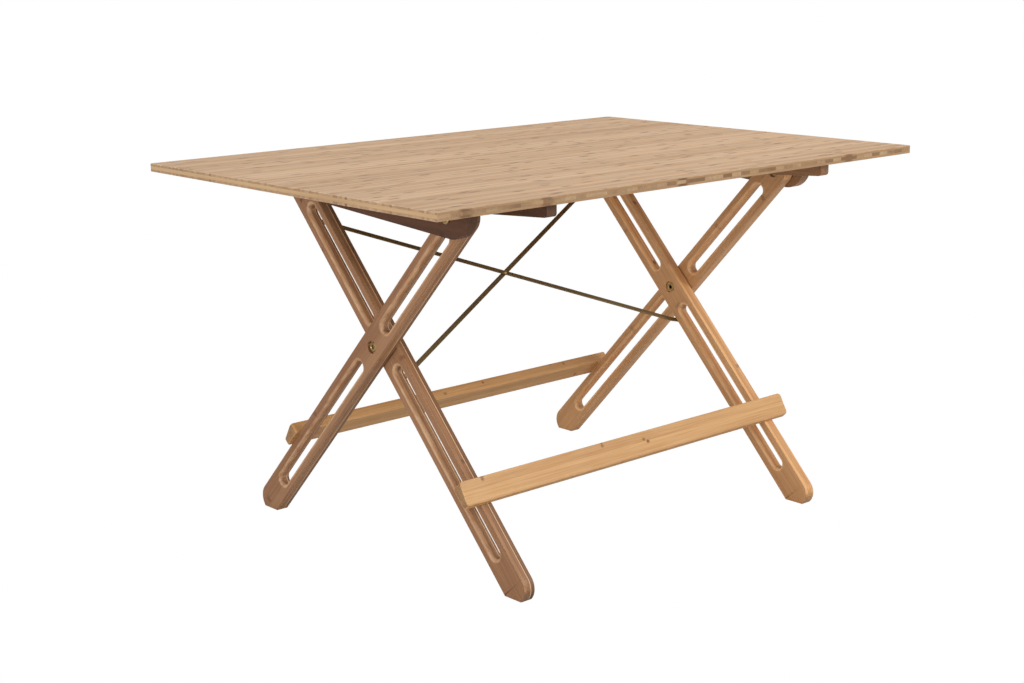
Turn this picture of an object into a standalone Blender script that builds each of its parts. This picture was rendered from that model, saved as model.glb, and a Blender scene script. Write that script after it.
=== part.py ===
"""Folding picnic table: a split bamboo top that lifts off four swing-down rails on two crossed leg frames.

Frame: metres, +Z up, +X along the table, -Y to the front, origin on the floor under the table's middle.
The inner leg frame carries the front stretcher and the brace straps, the outer frame the back stretcher.
Each frame is modelled upright in its own axes (Z up its legs, -Y to the front) about the centre pivots.
"""

from math import atan2, cos, pi, radians, sin

import bmesh
import bpy
from mathutils import Matrix, Vector

# Driving dimensions, metres and degrees
TABLE_HEIGHT = 0.700
TOP_LENGTH = 1.210
TOP_WIDTH = 0.840
TOP_THICKNESS = 0.015
TOP_CORNER_RADIUS = 0.005
FACE_GAP = 0.0003           # between faces that touch

LEAN = 43.14                # of each leg from upright
PIVOT_HEIGHT = 0.3888       # centre pivots above the floor
LEG_WIDTH = 0.0580
LEG_THICKNESS = 0.0240
PLANE_GAP = 0.0030          # between neighbouring legs and rails, filled by a washer
OUTER_LEG_FACE = 0.418      # outside face of the outer legs, from the middle
TOP_PIVOT_REACH = 0.362     # centre pivot to top pivot, along a leg
FOOT_CENTRE_REACH = 0.505   # centre pivot to the middle of a foot's round end
SLOT_WIDTH = 0.021
UPPER_SLOT = (0.050, 0.315)
LOWER_SLOT = (-0.447, -0.050)

RAIL_THICKNESS = 0.022
RAIL_HEEL_REACH = 0.053     # past the pivot
RAIL_HEEL_RADIUS = 0.041
RAIL_TIP = 0.405            # from the table's middle line
RAIL_HEEL_DEPTH = 0.0645
RAIL_TIP_DEPTH = 0.022
RAIL_TIP_RADIUS = 0.007
RAIL_TOP_RADIUS = 0.003

STRETCHER_HALF_LENGTH = 0.4285
STRETCHER_TOP = -0.3125     # along the legs from the centre pivots
STRETCHER_HEIGHT = 0.0435
STRETCHER_TOP_DEPTH = 0.0233
STRETCHER_FOOT_DEPTH = 0.0128
STRETCHER_CORNER_RADIUS = 0.007

STRAP_WIDTH = 0.009
STRAP_THICKNESS = 0.0025
STRAP_STAND_OFF = 0.0028    # of the first strap's middle run from the legs' edge
STRAP_CROSS_REACH = 0.121   # where the straps cross, along the legs
STRAP_SLOPE = 0.50          # rise along the legs for each metre across
STRAP_JOGGLE = 0.016        # length of the bend at each end
STRAP_END_FLAT = 0.014

BOLT_RADIUS = 0.0025
SLEEVE_BORE_RADIUS = 0.0028
SLEEVE_RADIUS = 0.0040
BORE_RADIUS = 0.0043
HEAD_RADIUS = 0.0088
HEAD_HEIGHT = 0.0036
HEAD_CHAMFER = 0.0006
SOCKET_RADIUS = 0.0042
SOCKET_DEPTH = 0.0028
COUNTERBORE_RADIUS = 0.0118
COUNTERBORE_DEPTH = 0.0066
WASHER_RADIUS = 0.0125

DOWEL_RADIUS = 0.004
DOWEL_IN_LEG = 0.0135
DOWEL_IN_STRETCHER = 0.0095
DOWEL_SPACING = 0.022
SCREW_RADIUS = 0.0018
SCREW_IN_LEG = 0.0125
SCREW_HEAD_RADIUS = 0.0036
SCREW_HEAD_HEIGHT = 0.0018
SCREW_CROWN_RADIUS = 0.0025
RIVET_RADIUS = 0.0020
RIVET_HEAD_RADIUS = 0.0040
RIVET_CROWN_RADIUS = 0.0024

PEG_RADIUS = 0.004
PEG_HOLE_RADIUS = 0.0055
PEG_RISE = 0.007            # of a peg above its rail
PEG_STRAIGHT = 0.0035       # of that rise, before its taper
PEG_TIP_RADIUS = 0.0024
PEG_DEPTH_IN_RAIL = 0.009
PEG_HOLE_DEPTH = 0.008
PEG_PLACES = (-0.340, 0.275)

HINGE_PLACES = (-0.500, 0.0, 0.500)
BARREL_RADIUS = 0.0045
BARREL_LENGTH = 0.013
SEAM_HALF_GAP = 0.0002
FIT_GAP = 0.0003            # round a pin, dowel or barrel in its bore
PAST = 0.002                # how far a cutter runs past the face it opens

# Worked out from them
LEAN_ANGLE = radians(LEAN)
HALF_WIDTH = LEG_WIDTH / 2
UNDERSIDE = TABLE_HEIGHT - TOP_THICKNESS
TOP_PIVOT_Y = TOP_PIVOT_REACH * sin(LEAN_ANGLE)
TOP_PIVOT_Z = PIVOT_HEIGHT + TOP_PIVOT_REACH * cos(LEAN_ANGLE)
OUTER_LEG_INSIDE = OUTER_LEG_FACE - LEG_THICKNESS
INNER_LEG_FACE = OUTER_LEG_INSIDE - PLANE_GAP
INNER_LEG_INSIDE = INNER_LEG_FACE - LEG_THICKNESS
OUTER_RAIL_INSIDE = OUTER_LEG_FACE + PLANE_GAP
OUTER_RAIL_FACE = OUTER_RAIL_INSIDE + RAIL_THICKNESS
INNER_RAIL_FACE = INNER_LEG_INSIDE - PLANE_GAP
INNER_RAIL_INSIDE = INNER_RAIL_FACE - RAIL_THICKNESS
STRETCHER_MIDDLE = STRETCHER_TOP - STRETCHER_HEIGHT / 2

SIDES = (("left", -1), ("right", 1))
ROUND_STEPS = 16
SLOT_STEPS = 8
LEG_TOP_STEPS = 12
LEG_FOOT_STEPS = 16
CORNER_STEPS = 4
HEEL_STEPS = 10
STRAP_HOLE_STEPS = 10
STRAP_END_STEPS = 6
BOARD_CORNER_STEPS = 3
SHARP_ANGLE = radians(35)
MERGE_DISTANCE = 0.00001
CUT_TOLERANCE = 0.000001

FINISHES = {
    "top_bamboo": ((0.62, 0.44, 0.27), 0.45, 0.0),
    "leg_bamboo": ((0.36, 0.20, 0.10), 0.50, 0.0),
    "rail_bamboo": ((0.40, 0.24, 0.12), 0.50, 0.0),
    "stretcher_bamboo": ((0.56, 0.37, 0.18), 0.48, 0.0),
    "brass": ((0.62, 0.46, 0.20), 0.32, 1.0),
    "dark_steel": ((0.14, 0.12, 0.09), 0.42, 1.0),
    "dowel_wood": ((0.58, 0.44, 0.28), 0.60, 0.0),
}


def clear_scene():
    for item in list(bpy.data.objects):
        bpy.data.objects.remove(item, do_unlink=True)


def finish(name):
    """Return the named finish as a Principled BSDF material, made on first use."""
    material = bpy.data.materials.get(name)
    if material:
        return material
    colour, roughness, metallic = FINISHES[name]
    material = bpy.data.materials.new(name)
    material.use_nodes = True
    shader = material.node_tree.nodes["Principled BSDF"]
    shader.inputs["Base Color"].default_value = (*colour, 1.0)
    shader.inputs["Roughness"].default_value = roughness
    shader.inputs["Metallic"].default_value = metallic
    material.diffuse_color = (*colour, 1.0)
    return material


def add_empty(name, place, turn=0.0):
    """An empty whose X axis is a joint's axis."""
    empty = bpy.data.objects.new(name, None)
    empty.empty_display_size = 0.05
    empty.location = place
    empty.rotation_euler.x = turn
    bpy.context.scene.collection.objects.link(empty)
    return empty


def add_object(name, bm, finish_name, parent=None, place=(0, 0, 0)):
    """Turn a bmesh into a named object with its finish."""
    bmesh.ops.recalc_face_normals(bm, faces=bm.faces)
    mesh = bpy.data.meshes.new(name)
    bm.to_mesh(mesh)
    bm.free()
    mesh.materials.append(finish(finish_name))
    item = bpy.data.objects.new(name, mesh)
    item.parent = parent
    item.location = place
    bpy.context.scene.collection.objects.link(item)
    mesh.shade_smooth()
    mesh.set_sharp_from_angle(angle=SHARP_ANGLE)
    return item


def arc(centre, radius, start, end, steps):
    """Points on an arc in the plane, angles in degrees."""
    angles = (radians(start + (end - start) * i / steps) for i in range(steps + 1))
    return [(centre[0] + radius * cos(a), centre[1] + radius * sin(a)) for a in angles]


def round_end_slot(low, high, width, steps=SLOT_STEPS):
    """Outline of a slot along the second axis, its round ends reaching low and high."""
    radius = width / 2
    upper = arc((0, high - radius), radius, 0, 180, steps)
    lower = arc((0, low + radius), radius, 180, 360, steps)
    return upper + lower


def plate(outline, holes, near, far):
    """A flat plate with holes: outlines in Y and Z, its thickness along X from near to far."""
    bm = bmesh.new()
    edges = []
    for loop in (outline, *holes):
        corners = [bm.verts.new((near, y, z)) for y, z in loop]
        edges += [bm.edges.new((corners[i - 1], corners[i])) for i in range(len(corners))]
    bmesh.ops.triangle_fill(bm, use_beauty=True, use_dissolve=False, edges=edges)
    extruded = bmesh.ops.extrude_face_region(bm, geom=bm.faces[:], use_keep_orig=True)
    moved = [item for item in extruded["geom"] if isinstance(item, bmesh.types.BMVert)]
    bmesh.ops.translate(bm, verts=moved, vec=(far - near, 0, 0))
    bmesh.ops.recalc_face_normals(bm, faces=bm.faces)
    return bm


def turned(profile, steps=ROUND_STEPS):
    """A round solid about X from (place along X, radius) points, closed at both ends."""
    bm = bmesh.new()
    points = [(profile[0][0], 0.0), *profile, (profile[-1][0], 0.0)]
    corners = [bm.verts.new((x, radius, 0)) for x, radius in points]
    edges = [bm.edges.new(pair) for pair in zip(corners, corners[1:])]
    bmesh.ops.spin(bm, geom=corners + edges, cent=(0, 0, 0), axis=(1, 0, 0), angle=2 * pi,
                   steps=steps, use_merge=True)
    bmesh.ops.remove_doubles(bm, verts=bm.verts, dist=MERGE_DISTANCE)
    bmesh.ops.recalc_face_normals(bm, faces=bm.faces)
    return bm


def rod(start, end, radius, steps=ROUND_STEPS):
    return turned([(start, radius), (end, radius)], steps)


def placed(bm, place, turn=None):
    """Turn and move a bmesh, and return it."""
    if turn:
        bmesh.ops.transform(bm, matrix=turn, verts=bm.verts)
    bmesh.ops.translate(bm, verts=bm.verts, vec=place)
    return bm


def cut_by_plane(bm, point, outward):
    """Take away what lies on the outward side of a plane, and close the cut."""
    result = bmesh.ops.bisect_plane(bm, geom=bm.verts[:] + bm.edges[:] + bm.faces[:], dist=CUT_TOLERANCE,
                                    plane_co=point, plane_no=outward, clear_outer=True)
    rim = [item for item in result["geom_cut"] if isinstance(item, bmesh.types.BMEdge)]
    bmesh.ops.edgeloop_fill(bm, edges=rim)
    bmesh.ops.recalc_face_normals(bm, faces=bm.faces)


def cut_holes(item, cutters):
    """Subtract closed bmesh cutters, in the object's own axes, from its mesh."""
    joined = bpy.data.meshes.new("cutter")
    whole = bmesh.new()
    for bm in cutters:
        bmesh.ops.recalc_face_normals(bm, faces=bm.faces)
        part = bpy.data.meshes.new("cutter_part")
        bm.to_mesh(part)
        bm.free()
        whole.from_mesh(part)
        bpy.data.meshes.remove(part)
    whole.to_mesh(joined)
    whole.free()
    cutter = bpy.data.objects.new("cutter", joined)
    cutter.hide_render = True
    cutter.display_type = "WIRE"
    bpy.context.scene.collection.objects.link(cutter)
    bpy.context.view_layer.update()
    cutter.matrix_world = item.matrix_world.copy()
    modifier = item.modifiers.new("holes", "BOOLEAN")
    modifier.operation = "DIFFERENCE"
    modifier.solver = "EXACT"
    modifier.object = cutter
    bpy.context.view_layer.update()
    evaluated = item.evaluated_get(bpy.context.evaluated_depsgraph_get())
    cut = bpy.data.meshes.new_from_object(evaluated)
    item.modifiers.clear()
    old = item.data
    item.data = cut
    cut.name = item.name
    bpy.data.meshes.remove(old)
    bpy.data.objects.remove(cutter, do_unlink=True)
    bpy.data.meshes.remove(joined)
    cut.shade_smooth()
    cut.set_sharp_from_angle(angle=SHARP_ANGLE)


ALONG_Y = Matrix.Rotation(radians(90), 4, "Z")
ALONG_Z = Matrix.Rotation(radians(-90), 4, "Y")


def leg_blank(near, far, lean):
    """A leg about the centre pivot: round ends, two long slots, and a flat where it meets the floor."""
    top = arc((0, TOP_PIVOT_REACH), HALF_WIDTH, 0, 180, LEG_TOP_STEPS)
    foot = arc((0, -FOOT_CENTRE_REACH), HALF_WIDTH, 180, 360, LEG_FOOT_STEPS)
    slots = [round_end_slot(*reach, SLOT_WIDTH) for reach in (UPPER_SLOT, LOWER_SLOT)]
    bm = plate(top + foot, slots, near, far)
    up = Vector((0, sin(lean), cos(lean)))
    cut_by_plane(bm, up * -PIVOT_HEIGHT, -up)
    return bm


def circle(radius, centre=(0, 0), steps=ROUND_STEPS):
    return arc(centre, radius, 0, 360, steps)[:-1]


def stepped_bore(recessed, plain):
    """Cutter for a bolt's bore along X with a counterbore at its recessed face."""
    inward = 1 if plain > recessed else -1
    step = recessed + inward * COUNTERBORE_DEPTH
    return turned([(recessed - inward * PAST, COUNTERBORE_RADIUS), (step, COUNTERBORE_RADIUS),
                   (step, BORE_RADIUS), (plain + inward * PAST, BORE_RADIUS)])


def make_leg(name, frame, lean, near, far, centre_bore, top_bore, edge_bores):
    """One leg in its frame's axes, with its bolt bores and the bores in its edges."""
    leg = add_object(name, leg_blank(near, far, lean), "leg_bamboo", frame)
    cut_holes(leg, [centre_bore, placed(top_bore, (0, 0, TOP_PIVOT_REACH)), *edge_bores])
    return leg


def dowel_reaches():
    return [STRETCHER_MIDDLE + offset for offset in (-DOWEL_SPACING / 2, DOWEL_SPACING / 2)]


def dowel_cutters(middle, back):
    """Cutters for the dowel bores that join a leg and its stretcher, on the front or back edge."""
    reach = (HALF_WIDTH - DOWEL_IN_LEG - FIT_GAP, HALF_WIDTH + DOWEL_IN_STRETCHER + FIT_GAP)
    return [placed(rod(back * reach[0], back * reach[1], DOWEL_RADIUS + FIT_GAP), (middle, 0, along), ALONG_Y)
            for along in dowel_reaches()]


def strap_ends(slope):
    """Left and right screw places of a strap, as (across, along the legs)."""
    middle = (INNER_LEG_FACE + INNER_LEG_INSIDE) / 2
    return [(side * middle, STRAP_CROSS_REACH + side * middle * slope) for _, side in SIDES]


def screw_cutters(side):
    """Cutters for the strap screws in an inner leg's back edge."""
    ends = [strap_ends(slope)[0 if side < 0 else 1] for slope in (STRAP_SLOPE, -STRAP_SLOPE)]
    return [placed(rod(HALF_WIDTH - SCREW_IN_LEG - FIT_GAP, HALF_WIDTH + PAST, SCREW_RADIUS + FIT_GAP),
                   (across, 0, along), ALONG_Y) for across, along in ends]


def make_legs(inner_frame, outer_frame):
    for word, side in SIDES:
        face, inside = side * OUTER_LEG_FACE, side * OUTER_LEG_INSIDE
        make_leg(f"leg_outer_{word}", outer_frame, LEAN_ANGLE, face, inside,
                 stepped_bore(face, inside), stepped_bore(inside, face),
                 dowel_cutters((face + inside) / 2, 1))
        face, inside = side * INNER_LEG_FACE, side * INNER_LEG_INSIDE
        make_leg(f"leg_inner_{word}", inner_frame, -LEAN_ANGLE, face, inside,
                 stepped_bore(inside, face), stepped_bore(face, inside),
                 dowel_cutters((face + inside) / 2, -1) + screw_cutters(side))


def make_stretcher(name, frame, back, leg_middle):
    """A wedge-faced stretcher on the legs' front or back edges, deeper at its upper edge."""
    low, high = STRETCHER_TOP - STRETCHER_HEIGHT, STRETCHER_TOP
    left, right = -STRETCHER_HALF_LENGTH, STRETCHER_HALF_LENGTH
    radius = STRETCHER_CORNER_RADIUS
    outline = [*arc((right - radius, high - radius), radius, 0, 90, CORNER_STEPS),
               *arc((left + radius, high - radius), radius, 90, 180, CORNER_STEPS),
               *arc((left + radius, low + radius), radius, 180, 270, CORNER_STEPS),
               *arc((right - radius, low + radius), radius, 270, 360, CORNER_STEPS)]
    bm = plate(outline, [], HALF_WIDTH + FACE_GAP, HALF_WIDTH + STRETCHER_TOP_DEPTH)
    rise = atan2(STRETCHER_TOP_DEPTH - STRETCHER_FOOT_DEPTH, STRETCHER_HEIGHT)
    cut_by_plane(bm, (HALF_WIDTH + STRETCHER_TOP_DEPTH, 0, high), (cos(rise), 0, -sin(rise)))
    turn = Matrix.Rotation(radians(90 * back), 4, "Z")
    stretcher = add_object(name, placed(bm, (0, 0, 0), turn), "stretcher_bamboo", frame)
    cutters = [cutter for _, side in SIDES for cutter in dowel_cutters(side * leg_middle, back)]
    cut_holes(stretcher, cutters)
    return stretcher


def make_stretchers(inner_frame, outer_frame):
    inner_middle = (INNER_LEG_FACE + INNER_LEG_INSIDE) / 2
    outer_middle = (OUTER_LEG_FACE + OUTER_LEG_INSIDE) / 2
    for name, frame, back, middle in (("front", inner_frame, -1, inner_middle),
                                      ("back", outer_frame, 1, outer_middle)):
        make_stretcher(f"stretcher_{name}", frame, back, middle)
        for word, side in SIDES:
            for level, along in zip(("lower", "upper"), dowel_reaches()):
                dowel = rod(back * (HALF_WIDTH - DOWEL_IN_LEG), back * (HALF_WIDTH + DOWEL_IN_STRETCHER),
                            DOWEL_RADIUS)
                add_object(f"stretcher_dowel_{name}_{word}_{level}", placed(dowel, (0, 0, 0), ALONG_Y),
                           "dowel_wood", frame, (side * middle, 0, along))


def rail_outline(tip_way):
    """Side outline of a rail about its pivot: deep round heel, straight top, shallow tip."""
    top = UNDERSIDE - FACE_GAP - TOP_PIVOT_Z
    tip = RAIL_TIP + TOP_PIVOT_Y
    slope = (RAIL_HEEL_DEPTH - RAIL_TIP_DEPTH) / tip
    stretch = (1 + slope ** 2) ** 0.5
    tangent = 270 + atan2(slope, 1) * 180 / pi

    def above_edge(along, radius):
        return along, top - RAIL_HEEL_DEPTH + slope * along + radius * stretch

    heel, corner = -RAIL_HEEL_REACH, RAIL_TOP_RADIUS
    heel_centre = above_edge(heel + RAIL_HEEL_RADIUS, RAIL_HEEL_RADIUS)
    tip_centre = above_edge(tip - RAIL_TIP_RADIUS, RAIL_TIP_RADIUS)
    points = [*arc(heel_centre, RAIL_HEEL_RADIUS, 180, tangent, HEEL_STEPS),
              *arc(tip_centre, RAIL_TIP_RADIUS, tangent, 360, CORNER_STEPS),
              *arc((tip - corner, top - corner), corner, 0, 90, BOARD_CORNER_STEPS),
              *arc((heel + corner, top - corner), corner, 90, 180, BOARD_CORNER_STEPS)]
    return [(tip_way * along, height) for along, height in points]


def make_rails():
    """The four rails, each with its origin on its pivot, and the pegs that locate the top."""
    rail_top = UNDERSIDE - FACE_GAP - TOP_PIVOT_Z
    for word, side in SIDES:
        add_object(f"rail_outer_{word}",
                   plate(rail_outline(1), [circle(BORE_RADIUS)], side * OUTER_RAIL_INSIDE,
                         side * OUTER_RAIL_FACE),
                   "rail_bamboo", None, (0, -TOP_PIVOT_Y, TOP_PIVOT_Z))
        inner = add_object(f"rail_inner_{word}",
                           plate(rail_outline(-1), [circle(BORE_RADIUS)], side * INNER_RAIL_INSIDE,
                                 side * INNER_RAIL_FACE),
                           "rail_bamboo", None, (0, TOP_PIVOT_Y, TOP_PIVOT_Z))
        middle = side * (INNER_RAIL_INSIDE + INNER_RAIL_FACE) / 2
        spots = [(middle, place - TOP_PIVOT_Y, rail_top) for place in PEG_PLACES]
        cut_holes(inner, [placed(rod(-PEG_DEPTH_IN_RAIL - FIT_GAP, PAST, PEG_RADIUS + FIT_GAP), spot, ALONG_Z)
                          for spot in spots])
        for end, spot in zip(("front", "back"), spots):
            peg = turned([(-PEG_DEPTH_IN_RAIL, PEG_RADIUS), (PEG_STRAIGHT, PEG_RADIUS),
                          (PEG_RISE, PEG_TIP_RADIUS)])
            add_object(f"top_peg_{end}_{word}", placed(peg, (0, 0, 0), ALONG_Z), "dowel_wood", inner, spot)


def sleeve_bolt(head_face, nut_face):
    """Bolt along X with a socket in its head, its shank inside the sleeve nut."""
    way = 1 if nut_face > head_face else -1
    seat = head_face + way * HEAD_HEIGHT
    tip = nut_face - way * (HEAD_HEIGHT + FIT_GAP * 2)
    floor = head_face + way * SOCKET_DEPTH
    return turned([(floor, SOCKET_RADIUS), (head_face, SOCKET_RADIUS),
                   (head_face, HEAD_RADIUS - HEAD_CHAMFER), (head_face + way * HEAD_CHAMFER, HEAD_RADIUS),
                   (seat, HEAD_RADIUS), (seat, BOLT_RADIUS), (tip, BOLT_RADIUS)])


def sleeve_nut(head_face, nut_face):
    """Flanged nut whose sleeve runs in the bores, over the bolt's shank."""
    way = 1 if nut_face > head_face else -1
    seat = nut_face - way * HEAD_HEIGHT
    mouth = head_face + way * (HEAD_HEIGHT + FIT_GAP)
    return turned([(nut_face, HEAD_RADIUS - HEAD_CHAMFER), (nut_face - way * HEAD_CHAMFER, HEAD_RADIUS),
                   (seat, HEAD_RADIUS), (seat, SLEEVE_RADIUS), (mouth, SLEEVE_RADIUS),
                   (mouth, SLEEVE_BORE_RADIUS), (seat, SLEEVE_BORE_RADIUS)])


def make_pivot(name, frame, reach, faces, washer_faces):
    """Bolt, sleeve nut and the washer between the two pieces, on an axis along X."""
    place = (0, 0, reach)
    add_object(f"pivot_bolt_{name}", sleeve_bolt(*faces), "brass", frame, place)
    add_object(f"pivot_nut_{name}", sleeve_nut(*faces), "brass", frame, place)
    near, far = washer_faces
    washer = plate(circle(WASHER_RADIUS), [circle(BORE_RADIUS)], near, far)
    add_object(f"pivot_washer_{name}", washer, "dark_steel", frame, place)


def make_pivots(inner_frame, outer_frame):
    """Centre pivots through both legs, and a top pivot through each leg and its rail."""
    seat = COUNTERBORE_DEPTH - HEAD_HEIGHT - FACE_GAP
    proud = HEAD_HEIGHT + FACE_GAP
    for word, side in SIDES:
        make_pivot(f"centre_{word}", inner_frame, 0.0,
                   (side * (OUTER_LEG_FACE - seat), side * (INNER_LEG_INSIDE + seat)),
                   (side * (INNER_LEG_FACE + FACE_GAP), side * (OUTER_LEG_INSIDE - FACE_GAP)))
        make_pivot(f"outer_{word}", outer_frame, TOP_PIVOT_REACH,
                   (side * (OUTER_RAIL_FACE + proud), side * (OUTER_LEG_INSIDE + seat)),
                   (side * (OUTER_LEG_FACE + FACE_GAP), side * (OUTER_RAIL_INSIDE - FACE_GAP)))
        make_pivot(f"inner_{word}", inner_frame, TOP_PIVOT_REACH,
                   (side * (INNER_LEG_FACE - seat), side * (INNER_RAIL_INSIDE - proud)),
                   (side * (INNER_RAIL_FACE + FACE_GAP), side * (INNER_LEG_INSIDE - FACE_GAP)))


def strap_mesh(stand_off, slope):
    """A flat strap with round ends, joggled from the legs' edge out to its middle run."""
    middle = (INNER_LEG_FACE + INNER_LEG_INSIDE) / 2
    screw = middle * (1 + slope ** 2) ** 0.5
    end = screw + STRAP_WIDTH / 2
    hole_radius = SCREW_RADIUS + FIT_GAP
    holes = [circle(hole_radius, (0, spot), STRAP_HOLE_STEPS) for spot in (-screw, screw)]
    holes.append(circle(RIVET_RADIUS + FIT_GAP, (0, 0), STRAP_HOLE_STEPS))
    bm = plate(round_end_slot(-end, end, STRAP_WIDTH, STRAP_END_STEPS), holes, 0, STRAP_THICKNESS)
    bend_start, bend_end = end - STRAP_END_FLAT, end - STRAP_END_FLAT - STRAP_JOGGLE
    for place in (-bend_start, -bend_end, bend_end, bend_start):
        bmesh.ops.bisect_plane(bm, geom=bm.verts[:] + bm.edges[:] + bm.faces[:], dist=CUT_TOLERANCE,
                               plane_co=(0, 0, place), plane_no=(0, 0, 1))
    for corner in bm.verts:
        along = (bend_start - abs(corner.co.z)) / STRAP_JOGGLE
        corner.co.x += stand_off * min(max(along, 0.0), 1.0)
    bmesh.ops.triangulate(bm, faces=bm.faces)
    run = Vector((1, 0, slope)).normalized()
    across = Vector((-run.z, 0, run.x))
    turn = Matrix((Vector((0, 1, 0)), across, run)).transposed().to_4x4()
    return placed(bm, (0, HALF_WIDTH + FACE_GAP, STRAP_CROSS_REACH), turn)


def make_straps(frame):
    """Two crossed brace straps on the inner legs' back edges, with a rivet and end screws."""
    second = STRAP_STAND_OFF + STRAP_THICKNESS + FACE_GAP
    straps = (("falling", STRAP_STAND_OFF, -STRAP_SLOPE), ("rising", second, STRAP_SLOPE))
    for name, stand_off, slope in straps:
        add_object(f"brace_strap_{name}", strap_mesh(stand_off, slope), "dark_steel", frame)
        seat = STRAP_THICKNESS + FACE_GAP * 2
        for (word, _), (across, along) in zip(SIDES, strap_ends(slope)):
            screw = turned([(-SCREW_IN_LEG, SCREW_RADIUS), (seat, SCREW_RADIUS), (seat, SCREW_HEAD_RADIUS),
                            (seat + SCREW_HEAD_HEIGHT, SCREW_CROWN_RADIUS)])
            add_object(f"brace_screw_{name}_{word}", placed(screw, (0, HALF_WIDTH, 0), ALONG_Y), "dark_steel",
                       frame, (across, 0, along))
    near = HALF_WIDTH + STRAP_STAND_OFF
    far = HALF_WIDTH + FACE_GAP * 2 + second + STRAP_THICKNESS
    rivet = turned([(near - SCREW_HEAD_HEIGHT, RIVET_CROWN_RADIUS), (near, RIVET_HEAD_RADIUS),
                    (near, RIVET_RADIUS), (far, RIVET_RADIUS), (far, RIVET_HEAD_RADIUS),
                    (far + SCREW_HEAD_HEIGHT, RIVET_CROWN_RADIUS)])
    add_object("brace_rivet", placed(rivet, (0, 0, 0), ALONG_Y), "brass", frame, (0, 0, STRAP_CROSS_REACH))


def board_outline(back):
    """Half of the top from above, as (depth, length) points, its two outer corners rounded."""
    seam, edge = SEAM_HALF_GAP, TOP_WIDTH / 2
    end, radius = TOP_LENGTH / 2, TOP_CORNER_RADIUS
    points = [(seam, -end), *arc((edge - radius, -end + radius), radius, 270, 360, BOARD_CORNER_STEPS),
              *arc((edge - radius, end - radius), radius, 0, 90, BOARD_CORNER_STEPS), (seam, end)]
    return [(back * depth, along) for depth, along in points]


def make_top():
    """The two boards, each with its origin on the seam's upper edge, and the seam's barrel hinges."""
    middle = -TOP_THICKNESS / 2
    for word, back in (("front", -1), ("back", 1)):
        bm = plate(board_outline(back), [], -TOP_THICKNESS, 0)
        board = add_object(f"top_board_{word}", placed(bm, (0, 0, 0), ALONG_Z), "top_bamboo", None,
                           (0, 0, TABLE_HEIGHT))
        pocket = BARREL_LENGTH + SEAM_HALF_GAP + FIT_GAP * 2
        cutters = [placed(rod(-back * PAST, back * pocket, BARREL_RADIUS + FIT_GAP),
                          (place, 0, middle), ALONG_Y) for place in HINGE_PLACES]
        peg_x = (INNER_RAIL_INSIDE + INNER_RAIL_FACE) / 2
        for _, side in SIDES:
            peg_y = PEG_PLACES[0 if back < 0 else 1]
            peg_hole = rod(-TOP_THICKNESS - PAST, -TOP_THICKNESS + PEG_HOLE_DEPTH, PEG_HOLE_RADIUS)
            cutters.append(placed(peg_hole, (side * peg_x, peg_y, 0), ALONG_Z))
        cut_holes(board, cutters)
        for spot, place in zip(("left", "middle", "right"), HINGE_PLACES):
            start = SEAM_HALF_GAP + FIT_GAP
            barrel = rod(back * start, back * (start + BARREL_LENGTH), BARREL_RADIUS)
            add_object(f"seam_barrel_{word}_{spot}", placed(barrel, (0, 0, 0), ALONG_Y), "brass", board,
                       (place, 0, middle))


def main():
    clear_scene()
    inner_frame = add_empty("inner_frame_axis", (0, 0, PIVOT_HEIGHT), -LEAN_ANGLE)
    outer_frame = add_empty("outer_frame_axis", (0, 0, PIVOT_HEIGHT), LEAN_ANGLE)
    make_legs(inner_frame, outer_frame)
    make_stretchers(inner_frame, outer_frame)
    make_rails()
    make_pivots(inner_frame, outer_frame)
    make_straps(inner_frame)
    make_top()


main()
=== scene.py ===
"""Folding bamboo picnic table: a split top on four swing-down rails and two crossed leg frames.

Metres, +Z up, -Y to the front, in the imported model's frame. Every wooden piece and fitting that
shows is built here with softened edges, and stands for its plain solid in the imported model.
"""

import logging  # noqa: E402
import math  # noqa: E402
from collections.abc import Sequence  # noqa: E402
from dataclasses import dataclass, replace  # noqa: E402
from enum import Enum  # noqa: E402

import bmesh  # noqa: E402
import bpy  # noqa: E402
from bmesh.types import BMEdge, BMesh, BMVert  # noqa: E402
from mathutils import Matrix, Vector  # noqa: E402


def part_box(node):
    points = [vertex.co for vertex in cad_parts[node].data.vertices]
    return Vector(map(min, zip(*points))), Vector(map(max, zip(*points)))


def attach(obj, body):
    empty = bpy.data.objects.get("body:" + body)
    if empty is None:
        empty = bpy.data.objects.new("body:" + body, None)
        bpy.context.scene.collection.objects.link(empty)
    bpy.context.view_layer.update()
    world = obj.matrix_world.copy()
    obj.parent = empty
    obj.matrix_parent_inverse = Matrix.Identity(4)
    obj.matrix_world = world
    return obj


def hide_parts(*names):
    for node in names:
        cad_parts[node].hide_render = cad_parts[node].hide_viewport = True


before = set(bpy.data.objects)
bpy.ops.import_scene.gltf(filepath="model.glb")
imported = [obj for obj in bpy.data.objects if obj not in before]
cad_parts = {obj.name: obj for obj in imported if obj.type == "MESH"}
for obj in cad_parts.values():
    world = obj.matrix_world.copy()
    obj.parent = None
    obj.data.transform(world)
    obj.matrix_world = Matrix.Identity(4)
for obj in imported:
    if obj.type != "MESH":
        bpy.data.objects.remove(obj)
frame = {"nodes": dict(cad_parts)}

LOG = logging.getLogger("picnic_table")
WEAR = "edge_wear"
NEAR = 1e-6
PAST = 0.002
BORE_STEPS = 32
UPRIGHT = Matrix.Rotation(math.radians(-90), 4, "Y")
DEPTHWISE = Matrix.Rotation(math.radians(90), 4, "Z")

Point = tuple[float, float, float]
Colour = tuple[float, float, float]
Socket = bpy.types.NodeSocket


# ---------------------------------------------------------------- shader graphs


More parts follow.
